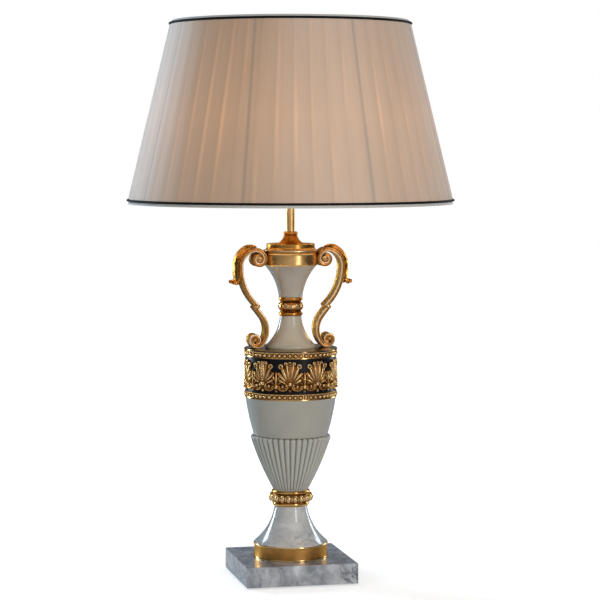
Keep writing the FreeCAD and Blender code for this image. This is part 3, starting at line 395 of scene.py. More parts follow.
# %% The last steps for a piece
def place_piece(piece, name, finish, body, node, angle):
    """Gives a piece its name, finish, smooth shading and body. It stands for one CAD node, which it hides."""
    settle(piece)
    piece.name = name
    piece.data.name = name
    piece.data.materials.clear()
    piece.data.materials.append(finish.material)
    bpy.ops.object.shade_smooth_by_angle(angle=math.radians(angle))
    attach(piece, body)
    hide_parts(node)
    print(name, "faces:", len(piece.data.polygons))
    return piece


print("Finishing helper ready")

# %% [markdown]
# ## Gilt brass
#
# The castings are gilded and then polished on their high places. They are brown in the hollows, and their
# highest places are painted pale gold, a painted highlight. A slow noise tints the gold, a fine one roughens
# it. The hollows could be painted by hand. On a round piece they are worked out from the distance to the
# axis instead, which fits any leaf or bead.


# %% Gilt finishes
def gilt(name, color, dark, roughness, grain):
    finish = Finish(name, color, roughness, Metallic=1.0, Specular_Tint=(1, 0.8, 0.5, 1))
    clouds = finish.noise(70, 3)
    finish.gold = finish.mixed((clouds * 2.2 - 0.75).clamped(), dark, color)
    finish.drive("Base Color", finish.gold)
    fine = finish.noise(900, 2)
    finish.gloss = roughness + (fine - 0.5) * 0.12 + (clouds - 0.5) * 0.1
    finish.drive("Roughness", finish.gloss)
    finish.bump(fine, grain, 0.0002)
    return finish


def patina_and_highlight(finish, height_share, hollow):
    """Darkens and dulls the hollows of a casting, and paints its highest places pale gold as a painted
    highlight. The share is 0 in the hollows and 1 on the high places.
    """
    # A pale gold painted on the highest places: a painted highlight.
    highlight_gold = (1, 0.7, 0.37)
    share = height_share.clamped()
    crest_highlight = finish.mixed(((height_share - 0.9) * 3).clamped(), finish.gold, highlight_gold)
    finish.drive("Base Color", finish.mixed(share, hollow, crest_highlight))
    finish.drive("Roughness", finish.gloss + (1 - share) * 0.25)
    return finish


def radius_of(finish):
    """The distance from the lamp's axis in millimetres."""
    across, along, up = finish.parts()
    return (across * across + along * along) ** 0.5 * 1000


polished_gilt = gilt("PolishedGilt", (0.85, 0.53, 0.2), (0.7, 0.38, 0.11), 0.13, 0.05)
amber_gilt = gilt("AmberGilt", (0.55, 0.21, 0.035), (0.34, 0.11, 0.015), 0.42, 0.2)
warm_gilt = gilt("WarmGilt", (0.78, 0.38, 0.1), (0.56, 0.24, 0.05), 0.14, 0.05)
satin_gilt = gilt("SatinGilt", (0.95, 0.68, 0.36), (0.85, 0.55, 0.24), 0.32, 0.05)
bronze = gilt("DarkBronze", (0.3, 0.25, 0.2), (0.16, 0.12, 0.08), 0.12, 0.05)
print("Finishes so far:", len(bpy.data.materials))

# %% [markdown]
# The lid has one pale line on its lowest step, a painted highlight where its moulding would catch the
# light. The finish finds it by its height.

# %% The lid's gold
lid_gilt = gilt("LidGilt", (0.7, 0.39, 0.125), (0.54, 0.27, 0.06), 0.27, 0.1)
lid_highlight_height = 457.8
# Painted highlight: a pale line at one height.
lid_highlight_line = (1.2 - abs(lid_gilt.parts()[2] * 1000 - lid_highlight_height)).clamped()
lid_gilt.drive("Base Color", lid_gilt.mixed(lid_highlight_line, lid_gilt.gold, (1, 0.86, 0.66)))
lid_gilt.drive("Roughness", lid_gilt.gloss + lid_highlight_line * 0.1)
print("Pale line at", lid_highlight_height, "mm")

# %% Castings with dark hollows
leaf_gilt = gilt("LeafGilt", (0.84, 0.47, 0.14), (0.5, 0.22, 0.05), 0.22, 0.15)
relief_gilt = gilt("ReliefGilt", (0.98, 0.55, 0.19), (0.66, 0.32, 0.08), 0.2, 0.12)
patina_and_highlight(relief_gilt, (radius_of(relief_gilt) - 63.2) / 1.6, (0.1, 0.04, 0.01))
collar_gilt = gilt("CollarGilt", (0.88, 0.54, 0.2), (0.65, 0.36, 0.1), 0.18, 0.12)
patina_and_highlight(collar_gilt, (radius_of(collar_gilt) - 25.5) / 3.6, (0.3, 0.14, 0.04))
knot_gilt = gilt("KnotGilt", (0.78, 0.32, 0.075), (0.42, 0.15, 0.03), 0.18, 0.2)
patina_and_highlight(knot_gilt, (radius_of(knot_gilt) - 14.6) / 2.2, (0.16, 0.06, 0.015))
print("Finishes so far:", len(bpy.data.materials))

# %% [markdown]
# The rims of the handles' straps are painted palest, the inner one most of all, as painted highlights, and
# are made less metallic, so that they take the room's light as cream would. The outer half of each strap's
# front and its outer broad side are painted dark brown, as painted shade. A strap isn't round, so its mesh
# will carry a number that says how far each corner lies outside the handle's line, and the finish reads that.

# %% The straps' gold
strap_gilt = gilt("StrapGilt", (1, 0.68, 0.32), (0.8, 0.47, 0.17), 0.2, 0.12)
strap_depth = abs(strap_gilt.parts()[1]) * 1000
outward = strap_gilt.add("Attribute", {"attribute_name": "outer_side"}, {}, "Fac")
outer_side = outward.clamped()
front_share = ((strap_depth - 10.9) / 2.8).clamped()
# Painted highlights on both rims, and painted shade on the front's outer half and the outer broad side.
inner_rim_highlight = ((-0.9 - outward) / 0.7).clamped() * front_share
outer_rim_highlight = ((outward - 1.2) / 0.6).clamped() * front_share
outer_half_shade = ((outward - 0.3) / 1.5).clamped() * front_share
strap_gilt.gold = strap_gilt.mixed(front_share, (0.95, 0.48, 0.12), strap_gilt.gold)
strap_gilt.gold = strap_gilt.mixed(outer_half_shade * 0.8, strap_gilt.gold, (0.4, 0.17, 0.04))
strap_gilt.gold = strap_gilt.mixed(inner_rim_highlight, strap_gilt.gold, (1, 0.87, 0.64))
patina_and_highlight(strap_gilt, (front_share + 0.85 - outer_side * 0.75).clamped() * 0.9, (0.1, 0.04, 0.01))
strap_gilt.drive("Metallic", 1 - inner_rim_highlight * 0.75 - outer_rim_highlight * 0.25)
print("Finishes so far:", len(bpy.data.materials))


# %% [markdown]
# The foot ring and the cap's band are brushed, and only their turned lips are polished. The lips are painted
# a pale gold, a painted highlight that shows most on the darker foot ring, and a dark line of painted shade
# runs under each lip. Both come from one helper that measures how far a point is from the edge.


# %% Bands with polished lips
def lipped(name, gold, dark, low, high, lip, gloss):
    """A satin band, low to high in millimetres, whose two lips are polished and painted pale gold as a
    highlight, each edged by a dark line of painted shade.
    """
    finish = gilt(name, gold, dark, gloss, 0.1)
    height = finish.parts()[2] * 1000
    middle, half = (low + high) / 2, (high - low) / 2
    from_edge = half - abs(height - middle)
    on_lip = from_edge.sum("LESS_THAN", from_edge, lip)
    # A dark line of painted shade under each lip, and a pale gold painted on the lips as a highlight.
    line = (1 - abs(from_edge - lip) / 0.35).clamped()
    lip_highlight_gold = finish.mixed(on_lip, finish.gold, (0.92, 0.62, 0.28))
    finish.drive("Base Color", finish.mixed(line * 0.8, lip_highlight_gold, (0.1, 0.04, 0.01)))
    finish.drive("Roughness", finish.gloss - on_lip * 0.24)
    return finish


foot_gilt = lipped("FootRingGilt", (0.7, 0.36, 0.115), (0.52, 0.25, 0.065), 30, 49.8, 2.2, 0.42)
cap_gilt = lipped("CapBandGilt", (0.95, 0.62, 0.28), (0.78, 0.48, 0.18), 436.5, 453.9, 2.0, 0.28)
print("Finishes so far:", len(bpy.data.materials))

# %% [markdown]
# ## Marble
#
# White marble is cloudy grey with thin dark veins that wander. The veins are the lines where a noise
# crosses its middle value, and the noise is read at a place that a second noise has pushed about.


# %% Marble finishes
def marble(
    name, pale, grey, vein_colour, vein_width, vein_share, shift, size=1.0, gloss=0.6, clear_above=1.0
):
    """Marble whose pattern is moved by a shift. Its veins fade out above a height in metres."""
    finish = Finish(name, pale, 0.14, Coat_Weight=gloss, Coat_Roughness=0.04)
    push = finish.add("TexNoise", {}, {"Vector": finish.place, "Scale": 14 * size, "Detail": 4}, "Color")
    centred = finish.add("VectorMath", {"operation": "SUBTRACT"}, {0: push, 1: (0.5, 0.5, 0.5)})
    scaled = finish.add("VectorMath", {"operation": "SCALE"}, {0: centred, "Scale": 0.09 / size})
    pushed = finish.add("VectorMath", {"operation": "ADD"}, {0: finish.place, 1: scaled})
    pushed = finish.add("VectorMath", {"operation": "ADD"}, {0: pushed, 1: shift})
    clouds = finish.noise(24 * size, 6, 0.62, at=pushed)
    ridge = abs(finish.noise(15 * size, 5, 0.55, at=pushed) - 0.5)
    thin = (1 - ridge / vein_width).clamped() ** 2
    patches = (finish.noise(12 * size, 2, at=pushed) * 4 - 1.5).clamped()
    patches = patches * ((clear_above - finish.parts()[2]) / 0.025).clamped()
    ground = finish.mixed((clouds * 3.2 - 1.15).clamped(), grey, pale)
    finish.drive("Base Color", finish.mixed(thin * patches * vein_share, ground, vein_colour))
    return finish


slab_marble = marble(
    "SlabMarble", pale=(0.52, 0.54, 0.58), grey=(0.17, 0.19, 0.22), vein_colour=(0.05, 0.05, 0.065),
    vein_width=0.06, vein_share=0.85, shift=(0.3, 0.1, 0.2), size=1.5, gloss=0.5,
)
pedestal_marble = marble(
    "PedestalMarble", pale=(0.56, 0.56, 0.55), grey=(0.4, 0.41, 0.42), vein_colour=(0.13, 0.13, 0.14),
    vein_width=0.04, vein_share=0.8, shift=(0.1, 0.4, 0.3), size=1.9, clear_above=0.085,
)
print("Finishes so far:", len(bpy.data.materials))


# %% [markdown]
# ## Glazes
#
# The urn and the neck are pottery under a satin ivory glaze, which pools a little and is never quite
# even. The neck's is warmer, and its lower half has a paler copy of it, which is painted light. Between the
# cup's reeds the glaze is painted dark, a painted shade in the grooves, worked out from the angle round the
# cup. The band behind the frieze has a black glaze.


# %% Glaze finishes
def glaze(name, color, deep, roughness):
    finish = Finish(name, color, roughness, Coat_Weight=0.5, Coat_Roughness=0.12)
    pool = finish.noise(22, 4)
    finish.pooled = finish.mixed((pool * 2 - 0.6).clamped(), deep, color)
    finish.drive("Base Color", finish.pooled)
    finish.bump(finish.noise(160, 2), 0.04, 0.0005)
    return finish


ivory = glaze("IvoryGlaze", (0.36, 0.35, 0.31), (0.31, 0.305, 0.265), 0.22)
ivory_warm = glaze("IvoryNeckGlaze", (0.4, 0.36, 0.3), (0.34, 0.3, 0.25), 0.14)
# A paler copy of the neck's glaze for its lower half: painted light.
ivory_lit_neck = glaze("IvoryLitNeckGlaze", (0.45, 0.42, 0.36), (0.39, 0.36, 0.3), 0.14)
reed_glaze = glaze("ReededGlaze", (0.42, 0.415, 0.375), (0.36, 0.355, 0.315), 0.25)
reed_count = 40
reed_turn = reed_glaze.turn() * reed_count
reed_side = abs(reed_turn.sum("FRACT", reed_turn + 0.5) - 0.5) * 2
# Painted shade in the grooves between the reeds.
groove_shade = ((reed_side - 0.55) / 0.4).clamped()
reed_glaze.drive("Base Color", reed_glaze.mixed(groove_shade * 0.5, reed_glaze.pooled, (0.1, 0.1, 0.085)))
black_glaze = glaze("BlackGlaze", (0.006, 0.006, 0.007), (0.003, 0.003, 0.004), 0.3)
black_glaze.shader.inputs["Coat Weight"].default_value = 0
black_glaze.shader.inputs["Specular IOR Level"].default_value = 0.2
porcelain = glaze("HolderPorcelain", (0.8, 0.8, 0.77), (0.7, 0.7, 0.66), 0.25)
print("Finishes so far:", len(bpy.data.materials))


# %% [markdown]
# ## Small parts
#
# The hidden parts have plain workshop finishes: zinc plate, moulded plastic, felt, enamelled wire and
# frosted glass. Each still gets a little grain, because a perfectly even surface looks like a drawing.


# %% Small finishes
def plain(name, color, roughness, scale, spread, **constants):
    finish = Finish(name, color, roughness, **constants)
    grain = finish.noise(scale, 3)
    darker = [channel * (1 - spread) for channel in color]
    finish.drive("Base Color", finish.mixed(grain, darker, color))
    finish.drive("Roughness", roughness + (grain - 0.5) * 0.15)
    finish.bump(grain, 0.1, 0.0003)
    return finish


zinc = plain("ZincPlate", (0.62, 0.62, 0.6), 0.35, 300, 0.2, Metallic=1.0)
nickel = plain("NickelPlate", (0.72, 0.69, 0.62), 0.25, 300, 0.15, Metallic=1.0)
felt = plain("FeltPad", (0.05, 0.05, 0.05), 0.95, 1500, 0.6, Sheen_Weight=0.5)
moulding = plain("BlackMoulding", (0.03, 0.03, 0.03), 0.45, 500, 0.3)
holder_plastic = plain("HolderPlastic", (0.7, 0.66, 0.57), 0.4, 400, 0.1)
frame_enamel = plain("FrameEnamel", (0.66, 0.64, 0.58), 0.4, 600, 0.15)
frosted = plain("FrostedGlass", (1, 0.9, 0.75), 0.4, 100, 0.05)
frosted.shader.inputs["Emission Color"].default_value = (1, 0.72, 0.42, 1)
frosted.shader.inputs["Emission Strength"].default_value = 0.8
print("Finishes in all so far:", len(bpy.data.materials))

# %% [markdown]
# ## Dressing the CAD parts
#
# Most of the stack is turned work whose shape is already right, so those parts only need their finish.

# %% Finishes for the CAD parts
worn_by = {
    slab_marble: ["marble_base"],
    pedestal_marble: ["pedestal"],
    felt: ["foot_pads"],
    moulding: ["cable_bush", "bulb_foot"],
    zinc: ["base_washer", "lock_washer", "base_nut", "tie_rod", "handle_screws", "bulb_filament"],
    foot_gilt: ["foot_ring"],
    cap_gilt: ["cap_band"],
    polished_gilt: [
        "collar_lower_ring", "collar_upper_ring", "holder_contact", "bulb_contact",
    ],
    warm_gilt: ["knot_lower_ring", "knot_upper_ring", "knop_ring"],
    satin_gilt: ["stem_tube"],
    lid_gilt: ["cap_lid"],
    amber_gilt: ["lid_cone"],
    bronze: ["shoulder_plate"],
    ivory: ["urn_bowl"],
    ivory_warm: ["upper_neck"],
    ivory_lit_neck: ["lower_neck"],
    black_glaze: ["frieze_band"],
    holder_plastic: ["holder_base", "holder_shell", "shade_ring_lower", "shade_ring_upper"],
    porcelain: ["holder_insulator"],
    nickel: ["holder_screw_shell", "bulb_cap"],
    frame_enamel: ["fitter_ring", "shade_bottom_ring", "shade_top_ring", "shade_ribs", "shade_spokes"],
    frosted: ["bulb_glass"],
}
dressed = 0
for finish, names in worn_by.items():
    for name in names:
        nodes[name].data.materials.clear()
        nodes[name].data.materials.append(finish.material)
        dressed += 1
print("CAD parts dressed:", dressed)

# %% [markdown]
# ## Turned work
#
# Much of the lamp comes off a lathe, where a cutter follows an outline while the work spins. Spinning an
# outline would do the same here. A circle that is extruded and scaled from corner to corner gives the
# same walls and leaves no seam to close, so each turned piece is made that way.

# %% Arcs and turned pieces
mm = 0.001


def arc(start, end, radius, steps):
    """Points from start to end on an arc whose centre is to the left of the way. All in millimetres."""
    start, end = Vector(start), Vector(end)
    chord = end - start
    rise = math.sqrt(max(radius**2 - (chord.length / 2)**2, 0))
    side = Vector((-chord.y, chord.x)).normalized()
    centre = (start + end) / 2 + side * math.copysign(rise, radius)
    first = math.atan2(start.y - centre.y, start.x - centre.x)
    last = math.atan2(end.y - centre.y, end.x - centre.x)
    sweep = (last - first + math.pi) % (2 * math.pi) - math.pi
    turns = [first + sweep * step / steps for step in range(steps + 1)]
    return [(centre.x + abs(radius) * math.cos(t), centre.y + abs(radius) * math.sin(t)) for t in turns]


def turned(name, outline, sides=96):
    """
    Turns a closed outline of (radius, height) corners in millimetres. It starts as a circle that is
    extruded and scaled from corner to corner, and its last ring is bridged to the first.
    """
    radius, height = outline[0]
    bpy.ops.object.select_all(action="DESELECT")
    bpy.ops.mesh.primitive_circle_add(vertices=sides, radius=radius * mm, location=(0, 0, height * mm))
    piece = bpy.context.object
    piece.name = name
    edit(piece)
    for next_radius, next_height in outline[1:]:
        rise = (0, 0, (next_height - height) * mm)
        bpy.ops.mesh.extrude_region_move(TRANSFORM_OT_translate={"value": rise})
        share = next_radius / radius
        bpy.ops.transform.resize(value=(share, share, 1), center_override=(0, 0, next_height * mm))
        radius, height = next_radius, next_height
    bpy.ops.mesh.select_all(action="DESELECT")
    bpy.ops.mesh.select_mode(type="EDGE")
    bpy.ops.mesh.select_non_manifold()
    bpy.ops.mesh.bridge_edge_loops()
    bpy.ops.mesh.select_mode(type="VERT")
    leave()
    return settle(piece)


print("Lathe helpers ready")

# %% [markdown]
# ## The reeded cup
#
# The cup's outside is a ring of reeds, each a tapered half-round rib that ends in a small knob under the
# bowl. One reed is drawn up from a flattened circle, ring by ring, and copied round a plain turned core.

# %% One reed
cup_seat = 123.5
cup_line = [(radius, cup_seat + height) for radius, height in arc((23.4, 0), (54.2, 72), 392, 14)]


def reed():
    """One reed on the +X side, from the collar up to the knob that ends it."""
    half = math.pi / reed_count
    knob_seat = 196
    rim_radius = 54.2
    radius, height = cup_line[0]
    width = radius * half
    middle = ((radius - width * 0.75) * mm, 0, height * mm)
    bpy.ops.object.select_all(action="DESELECT")
    bpy.ops.mesh.primitive_circle_add(vertices=12, radius=width * mm, fill_type="NGON", location=middle)
    piece = bpy.context.object
    edit(piece)
    knob = [(54.6, 196.8, 1.04), (54.8, 198.4, 1.0), (54.6, 199.9, 0.8), (54.2, 200.7, 0.45)]
    stations = [(r, z, r * half) for r, z in cup_line[1:]]
    stations += [(r, z, rim_radius * half * share) for r, z, share in knob]
    for next_radius, next_height, next_width in stations:
        next_middle = ((next_radius - rim_radius * half * 0.75) * mm, 0, next_height * mm)
        if next_height < knob_seat:
            next_middle = ((next_radius - next_width * 0.75) * mm, 0, next_height * mm)
        step = tuple(new - old for new, old in zip(next_middle, middle))
        bpy.ops.mesh.extrude_region_move(TRANSFORM_OT_translate={"value": step})
        share = next_width / width
        bpy.ops.transform.resize(value=(share, share, 1), center_override=next_middle)
        middle, width = next_middle, next_width
    leave()
    return settle(piece)


one_reed = reed()
one_reed.name = "reeds"
print("Faces on one reed:", len(one_reed.data.polygons))

# %% The whole cup
reeds = around(one_reed, reed_count)
cup_core = turned("cup_core", [
    *[(radius - 1.9, height) for radius, height in cup_line],
    (52.0, 198.4), (51.4, 199.6), (48, 199.8), (45, 180), (20, 131.5), (6, 131.5), (6, 123.5),
])
cup = joined("reeded_cup", [reeds, cup_core])
place_piece(cup, "reeded_cup", reed_glaze, "lamp", "fluted_cup", angle=60)

# %% [markdown]
# ## Petals
#
# The cast leaves are all made the same way. A petal starts as a sphere, is drawn long and flat, is tapered
# towards its foot and dished along its middle, so that its rim catches the light and its middle stays dark.


# %% A petal
def petal(length, width, depth, taper=0.55, dish=0.45, segments=14, rings=10):
    """
    A dished petal in millimetres that stands on the origin along +Z, with its face towards +Y. The taper is
    the width of its foot as a share of the whole, and the dish is how far its middle is pressed in.
    """
    bpy.ops.object.select_all(action="DESELECT")
    bpy.ops.mesh.primitive_uv_sphere_add(segments=segments, ring_count=rings, radius=1)
    piece = bpy.context.object
    for vertex in piece.data.vertices:
        across, out, up = vertex.co
        share = (up + 1) / 2
        narrow = taper + (1 - taper) * share
        pressed = 1 - dish * math.exp(-(across / 0.45)**2) * (1 if out > 0 else 0)
        vertex.co = (across * narrow * width / 2 * mm, out * pressed * depth * mm, share * length * mm)
    return piece


print("Petal helper ready")


# %% Laying out a relief and bending it round
def moved(piece, across, out, up, turn=0.0):
    """Turns a piece in the X-Z plane by an angle in degrees, clockwise seen from outside, then moves it."""
    shift = Matrix.Translation(Vector((across, out, up)) * mm)
    piece.data.transform(shift @ Matrix.Rotation(math.radians(turn), 4, "Y"))
    return piece


def wrapped(piece, radius):
    """Bends a flat relief round the lamp: X runs round, Y stands out from the radius and Z stays."""
    for vertex in piece.data.vertices:
        angle = vertex.co.x / (radius * mm)
        reach = radius * mm + vertex.co.y
        vertex.co = (reach * math.cos(angle), reach * math.sin(angle), vertex.co.z)
    return piece


print("Relief helpers ready")


# %% Bent wires and small bosses
def wire_arc(radius, thick, first, sweep, steps):
    """A round wire bent to an arc in the X-Z plane, with its ends closed. Angles run from +X towards +Z."""
    bpy.ops.object.select_all(action="DESELECT")
    bpy.ops.mesh.primitive_circle_add(vertices=8, radius=thick * mm, location=(0, 0, 0))
    piece = bpy.context.object
    piece.data.transform(Matrix.Translation((radius * mm, 0, 0)))
    edit(piece)
    bpy.ops.mesh.spin(steps=steps, angle=math.radians(sweep), center=(0, 0, 0), axis=(0, 1, 0))
    bpy.ops.mesh.select_all(action="SELECT")
    bpy.ops.mesh.remove_doubles(threshold=1e-6)
    bpy.ops.mesh.select_all(action="SELECT")
    bpy.ops.mesh.fill_holes(sides=0)
    leave()
    piece.data.transform(Matrix.Rotation(math.radians(-first), 4, "Y"))
    return piece


def drop(width, height, depth, segments=12, rings=8):
    """A small oval boss."""
    bpy.ops.object.select_all(action="DESELECT")
    bpy.ops.mesh.primitive_uv_sphere_add(segments=segments, ring_count=rings, radius=1)
    piece = bpy.context.object
    piece.data.transform(Matrix.Diagonal((width / 2 * mm, depth * mm, height / 2 * mm, 1)))
    return piece


print("Wire and boss helpers ready")

# %% [markdown]
# ## The pierced frieze
#
# The frieze is a strip of ten fan-shaped palmettes with upright husks between them and a row of small
# hanging scrolls below. One palmette and the husk beside it are laid out flat, like the pattern that a
# caster would carve, and are then bent round the drum and repeated.


# %% One palmette
def curl(radius, thick, first, sweep, place, side):
    """A small volute of round wire, mirrored when the side is -1."""
    piece = wire_arc(radius, thick, first, sweep, max(8, round(sweep / 24)))
    moved(piece, place[0], place[1], place[2])
    if side < 0:
        piece.data.transform(Matrix.Diagonal((-1, 1, 1, 1)))
        piece.data.flip_normals()
    return piece


palmette = [moved(drop(28, 35, 1.7, 20, 12), 0, 0.1, 289.5), moved(drop(38, 24, 1.3, 16, 10), 0, 0.1, 281.5)]
fan = [
    (7, 1.7, 281, 27.4, 5.4), (23, 3.2, 280.5, 24, 6.8), (43, 4.6, 280, 18, 6.4), (62, 5.0, 278, 13.5, 5.4),
]
volutes = [
    (2.5, 1.15, -80, 300, (12.4, 1.9, 301.6)), (1.5, 0.9, -60, 280, (5.6, 2.3, 305.6)),
    (1.4, 0.85, -40, 300, (15.3, 1.7, 291.3)), (22, 0.75, 82, 8, (-1.66, 2.6, 285.4)),
]
for side in (1, -1):
    for lean, across, foot, length, width in fan:
        leaf = petal(length, width, 2.6, taper=0.42, dish=0.0, segments=12, rings=10)
        palmette.append(moved(leaf, side * across, 0.5, foot, side * lean))
    palmette += [curl(*volute, side) for volute in volutes]
for number in range(9):
    palmette.append(moved(drop(1.9, 2.2, 1.3, 8, 6), 0, 2.4, 283 + number * 3))
for side in (1, -1):
    stalk = petal(27, 1.5, 1.2, taper=0.8, dish=0, segments=8, rings=8)
    palmette.append(moved(stalk, side * 1.7, 2.2, 281.5))
palmette.append(moved(drop(5.5, 6, 2.9), 0, 0.9, 277.5))
for side in (1, -1):
    palmette.append(moved(drop(3.4, 3.4, 2.2), side * 4.6, 1.2, 276))
print("Pieces in one palmette:", len(palmette))

# %% Husks and scrolls
husk_at = 20.1
for side in (1, -1):
    palmette.append(curl(8.6, 0.95, 222, 96, (10.05, 1.5, 277.2), side))
    palmette.append(curl(6.4, 0.75, 226, 88, (10.05, 1.3, 277.4), side))
    for across in (4.4, 15.7):
        palmette.append(curl(1.5, 0.85, 0, 330, (across, 1.6, 273.2), side))
    palmette.append(moved(drop(3.6, 4.4, 2.4, 8, 8), side * 10, 1.4, 274.2))
palmette.append(moved(drop(4.4, 4.4, 2.6, 4, 6), 0, 1.2, 268.4))
palmette.append(moved(drop(3.8, 4.0, 2.4, 4, 6), husk_at, 1.2, 268.2))
palmette.append(moved(drop(9, 19, 1.2, 12, 10), husk_at, 0.1, 282))
palmette.append(moved(petal(22, 4.0, 2.6, taper=0.6, dish=0.1), husk_at, 0.6, 273.0))
palmette.append(moved(drop(5.2, 6.4, 2.7), husk_at, 1.0, 273.6))
husk_leaves = [(11, 2.8, 2.0, 1.2, 281, 24), (8, 2.6, 1.8, 1.4, 276, 50)]
for side in (1, -1):
    for length, width, depth, across, foot, lean in husk_leaves:
        leaf = petal(length, width, depth, dish=0.0, segments=8)
        palmette.append(moved(leaf, husk_at + side * across, 0.8, foot, side * lean))
flat_palmette = joined("palmette", palmette)
print("Faces in the pattern:", len(flat_palmette.data.polygons))

# %% The whole frieze
relief_radius, palmette_count, first_palmette = 62.3, 10, 4.6
pattern = around(wrapped(flat_palmette, relief_radius), palmette_count, first_palmette)
field = turned("field", [
    (61, 269.6), (62.8, 269.8), (63.1, 270.6), (63.1, 287), (62.7, 289.6), (61, 289.8),
], 180)
frieze = joined("frieze", [pattern, field])
place_piece(frieze, "palmette_relief", relief_gilt, "lamp", "palmette_frieze", angle=50)

# %% [markdown]
# ## Beaded rings
#
# A row of round beads sits in a channel between two plain lips, above and below the frieze. One bead is
# copied round the ring. The finish is dark wherever a point lies deep, and draws a dark line of painted
# shade round each bead, where it meets the channel, so that every bead stands out.

# %% The beads' gold
bead_count, bead_rows, bead_circle, channel_circle = 54, (258.95, 316.05), 62.5, 63
bead_gilt = gilt("BeadGilt", (0.95, 0.58, 0.23), (0.75, 0.42, 0.14), 0.16, 0.08)
bead_turn = bead_gilt.turn() * bead_count
bead_side = (bead_turn.sum("FRACT", bead_turn) - 0.5) * (2 * math.pi * channel_circle / bead_count)
bead_height = bead_gilt.parts()[2] * 1000
bead_up = bead_height.sum("MINIMUM", abs(bead_height - bead_rows[0]), abs(bead_height - bead_rows[1]))
from_bead = (bead_side * bead_side + bead_up * bead_up) ** 0.5
# A ring of painted shade round each bead.
bead_crease_shade = (1.7 - abs(from_bead - 2.75) / 0.32).clamped()
patina_and_highlight(bead_gilt, (radius_of(bead_gilt) - 61.5) / 2.4 - bead_crease_shade, (0.07, 0.03, 0.01))
print("Beads in a row:", bead_count)


# %% Two rings
def beaded_ring(name, node):
    """A ring with a row of beads in its channel, in the place of its CAD node."""
    low, high = (corner.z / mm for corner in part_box(node))
    middle = (low + high) / 2
    bead = drop(4.9, 4.9, 3.0, 12, 9)
    bead.data.transform(Matrix.Translation((0, bead_circle * mm, middle * mm)))
    bead.name = "beads"
    beads = around(bead, bead_count)
    ring = turned("ring", [
        (60.5, low), (63.4, low), (64.0, low + 0.5), (64.0, middle - 2.9), (63.6, middle - 2.5),
        (63.1, middle - 2.3), (63.1, middle + 2.3), (63.6, middle + 2.5), (64.0, middle + 2.9),
        (64.0, high - 0.5), (63.4, high), (60.5, high),
    ], 216)
    place_piece(joined(name, [beads, ring]), name, bead_gilt, "lamp", node, angle=50)


beaded_ring("lower_beads", "lower_bead_ring")
beaded_ring("upper_beads", "upper_bead_ring")
print("Beaded rings: 2")

# %% [markdown]
# ## The two leaf bands
#
# The collar under the cup and the knot on the neck are wreaths of small leaves. The collar's leaves roll
# outwards over a ring. The knot's lie in three rows, like a laurel wreath.

# %% Collar leaves
collar_core = turned("collar_core", [
    (24, 107.6), (25.2, 108.6), *arc((25.2, 108.6), (25.2, 117.9), 5.9, 10)[1:], (24.6, 118.9), (6, 118.9),
    (6, 107.6),
])
rolled_length, collar_radius, collar_foot, collar_count = 10.6, 27.9, 108, 20
rolled = petal(rolled_length, 7.4, 2.7, taper=0.7, dish=0.3, segments=12, rings=10)
for vertex in rolled.data.vertices:
    swell = 1.2 * math.sin(math.pi * vertex.co.z / (rolled_length * mm))
    ridge = 0.7 * math.exp(-(vertex.co.x / (0.8 * mm))**2) * (1 if vertex.co.y > 0 else 0)
    vertex.co.y += (collar_radius + swell + ridge) * mm
    vertex.co.z += collar_foot * mm
between = petal(7, 3.4, 1.8, taper=0.4, dish=0.0, segments=10, rings=8)
between.data.transform(Matrix.Translation((0, 28.5 * mm, 109.2 * mm)))
between.data.transform(Matrix.Rotation(math.pi / collar_count, 4, "Z"))
collar_leaves = around(joined("collar_leaf", [rolled, between]), collar_count)
collar = joined("collar_leaves", [collar_leaves, collar_core])
place_piece(collar, "collar_leaves", collar_gilt, "lamp", "collar_leaf_band", angle=45)

# %% Knot leaves
knot_core = turned("knot_core", [
    (15.2, 371.9), (14.4, 372.6), (14.2, 374.2), (15.6, 375.0),
    *arc((15.6, 375.0), (15.6, 384.6), 8.4, 10)[1:],
    (14.2, 385.4), (14.4, 387.0), (15.2, 387.7), (6, 387.7), (6, 371.9),
])
leaf_row = []
for height, offset, out in ((374.6, 0.0, 15.4), (377.0, 12.0, 16.6), (379.6, 0.0, 15.9)):
    leaf = petal(5.4, 5.4, 1.6, taper=0.35, dish=0.35, segments=10, rings=8)
    leaf.data.transform(Matrix.Translation((0, out * mm, height * mm)))
    leaf.data.transform(Matrix.Rotation(math.radians(offset), 4, "Z"))
    leaf_row.append(leaf)
knot_leaves = around(joined("knot_leaf", leaf_row), 15)
knot = joined("knot_leaves", [knot_leaves, knot_core])
place_piece(knot, "knot_leaves", knot_gilt, "lamp", "knot_leaf_band", angle=30)

# %% [markdown]
# ## The handles
#
# Each handle is a cast strap with a moulded edge: two raised lines with a channel between them on its
# front and back, and sunk panels on its broad sides. The strap follows a run of arcs, so the line is
# worked out first and the moulded section is then drawn along it.


# %% Runs of arcs
def run_of_arcs(centre, radius, angle, arcs, turn_back, step=4.0):
    """
    Points along arcs that run smoothly into each other, from an angle on a first circle. Each arc is
    (radius, sweep), and all of them bend the same way: clockwise when turn_back is true.
    """
    points = []
    way = -1 if turn_back else 1
    for next_radius, sweep in arcs:
        spot = centre + Vector((math.cos(math.radians(angle)), math.sin(math.radians(angle)))) * radius
        outward = (spot - centre).normalized()
        centre = spot - outward * next_radius
        radius = next_radius
        count = max(2, round(sweep / step))
        for number in range(count + 1):
            at = math.radians(angle + way * sweep * number / count)
            points.append(centre + Vector((math.cos(at), math.sin(at))) * radius)
        angle += way * sweep
    return points


def without_repeats(points):
    """Leaves out each point that lies on the one before it."""
    kept = points[:1]
    for before, spot in zip(points, points[1:]):
        if (spot - before).length > 0.05:
            kept.append(spot)
    return kept


def lengthened(points, overlap):
    """Runs a line straight on past its end."""
    return points + [points[-1] + (points[-1] - points[-2]).normalized() * overlap]


print("Arc helpers ready")

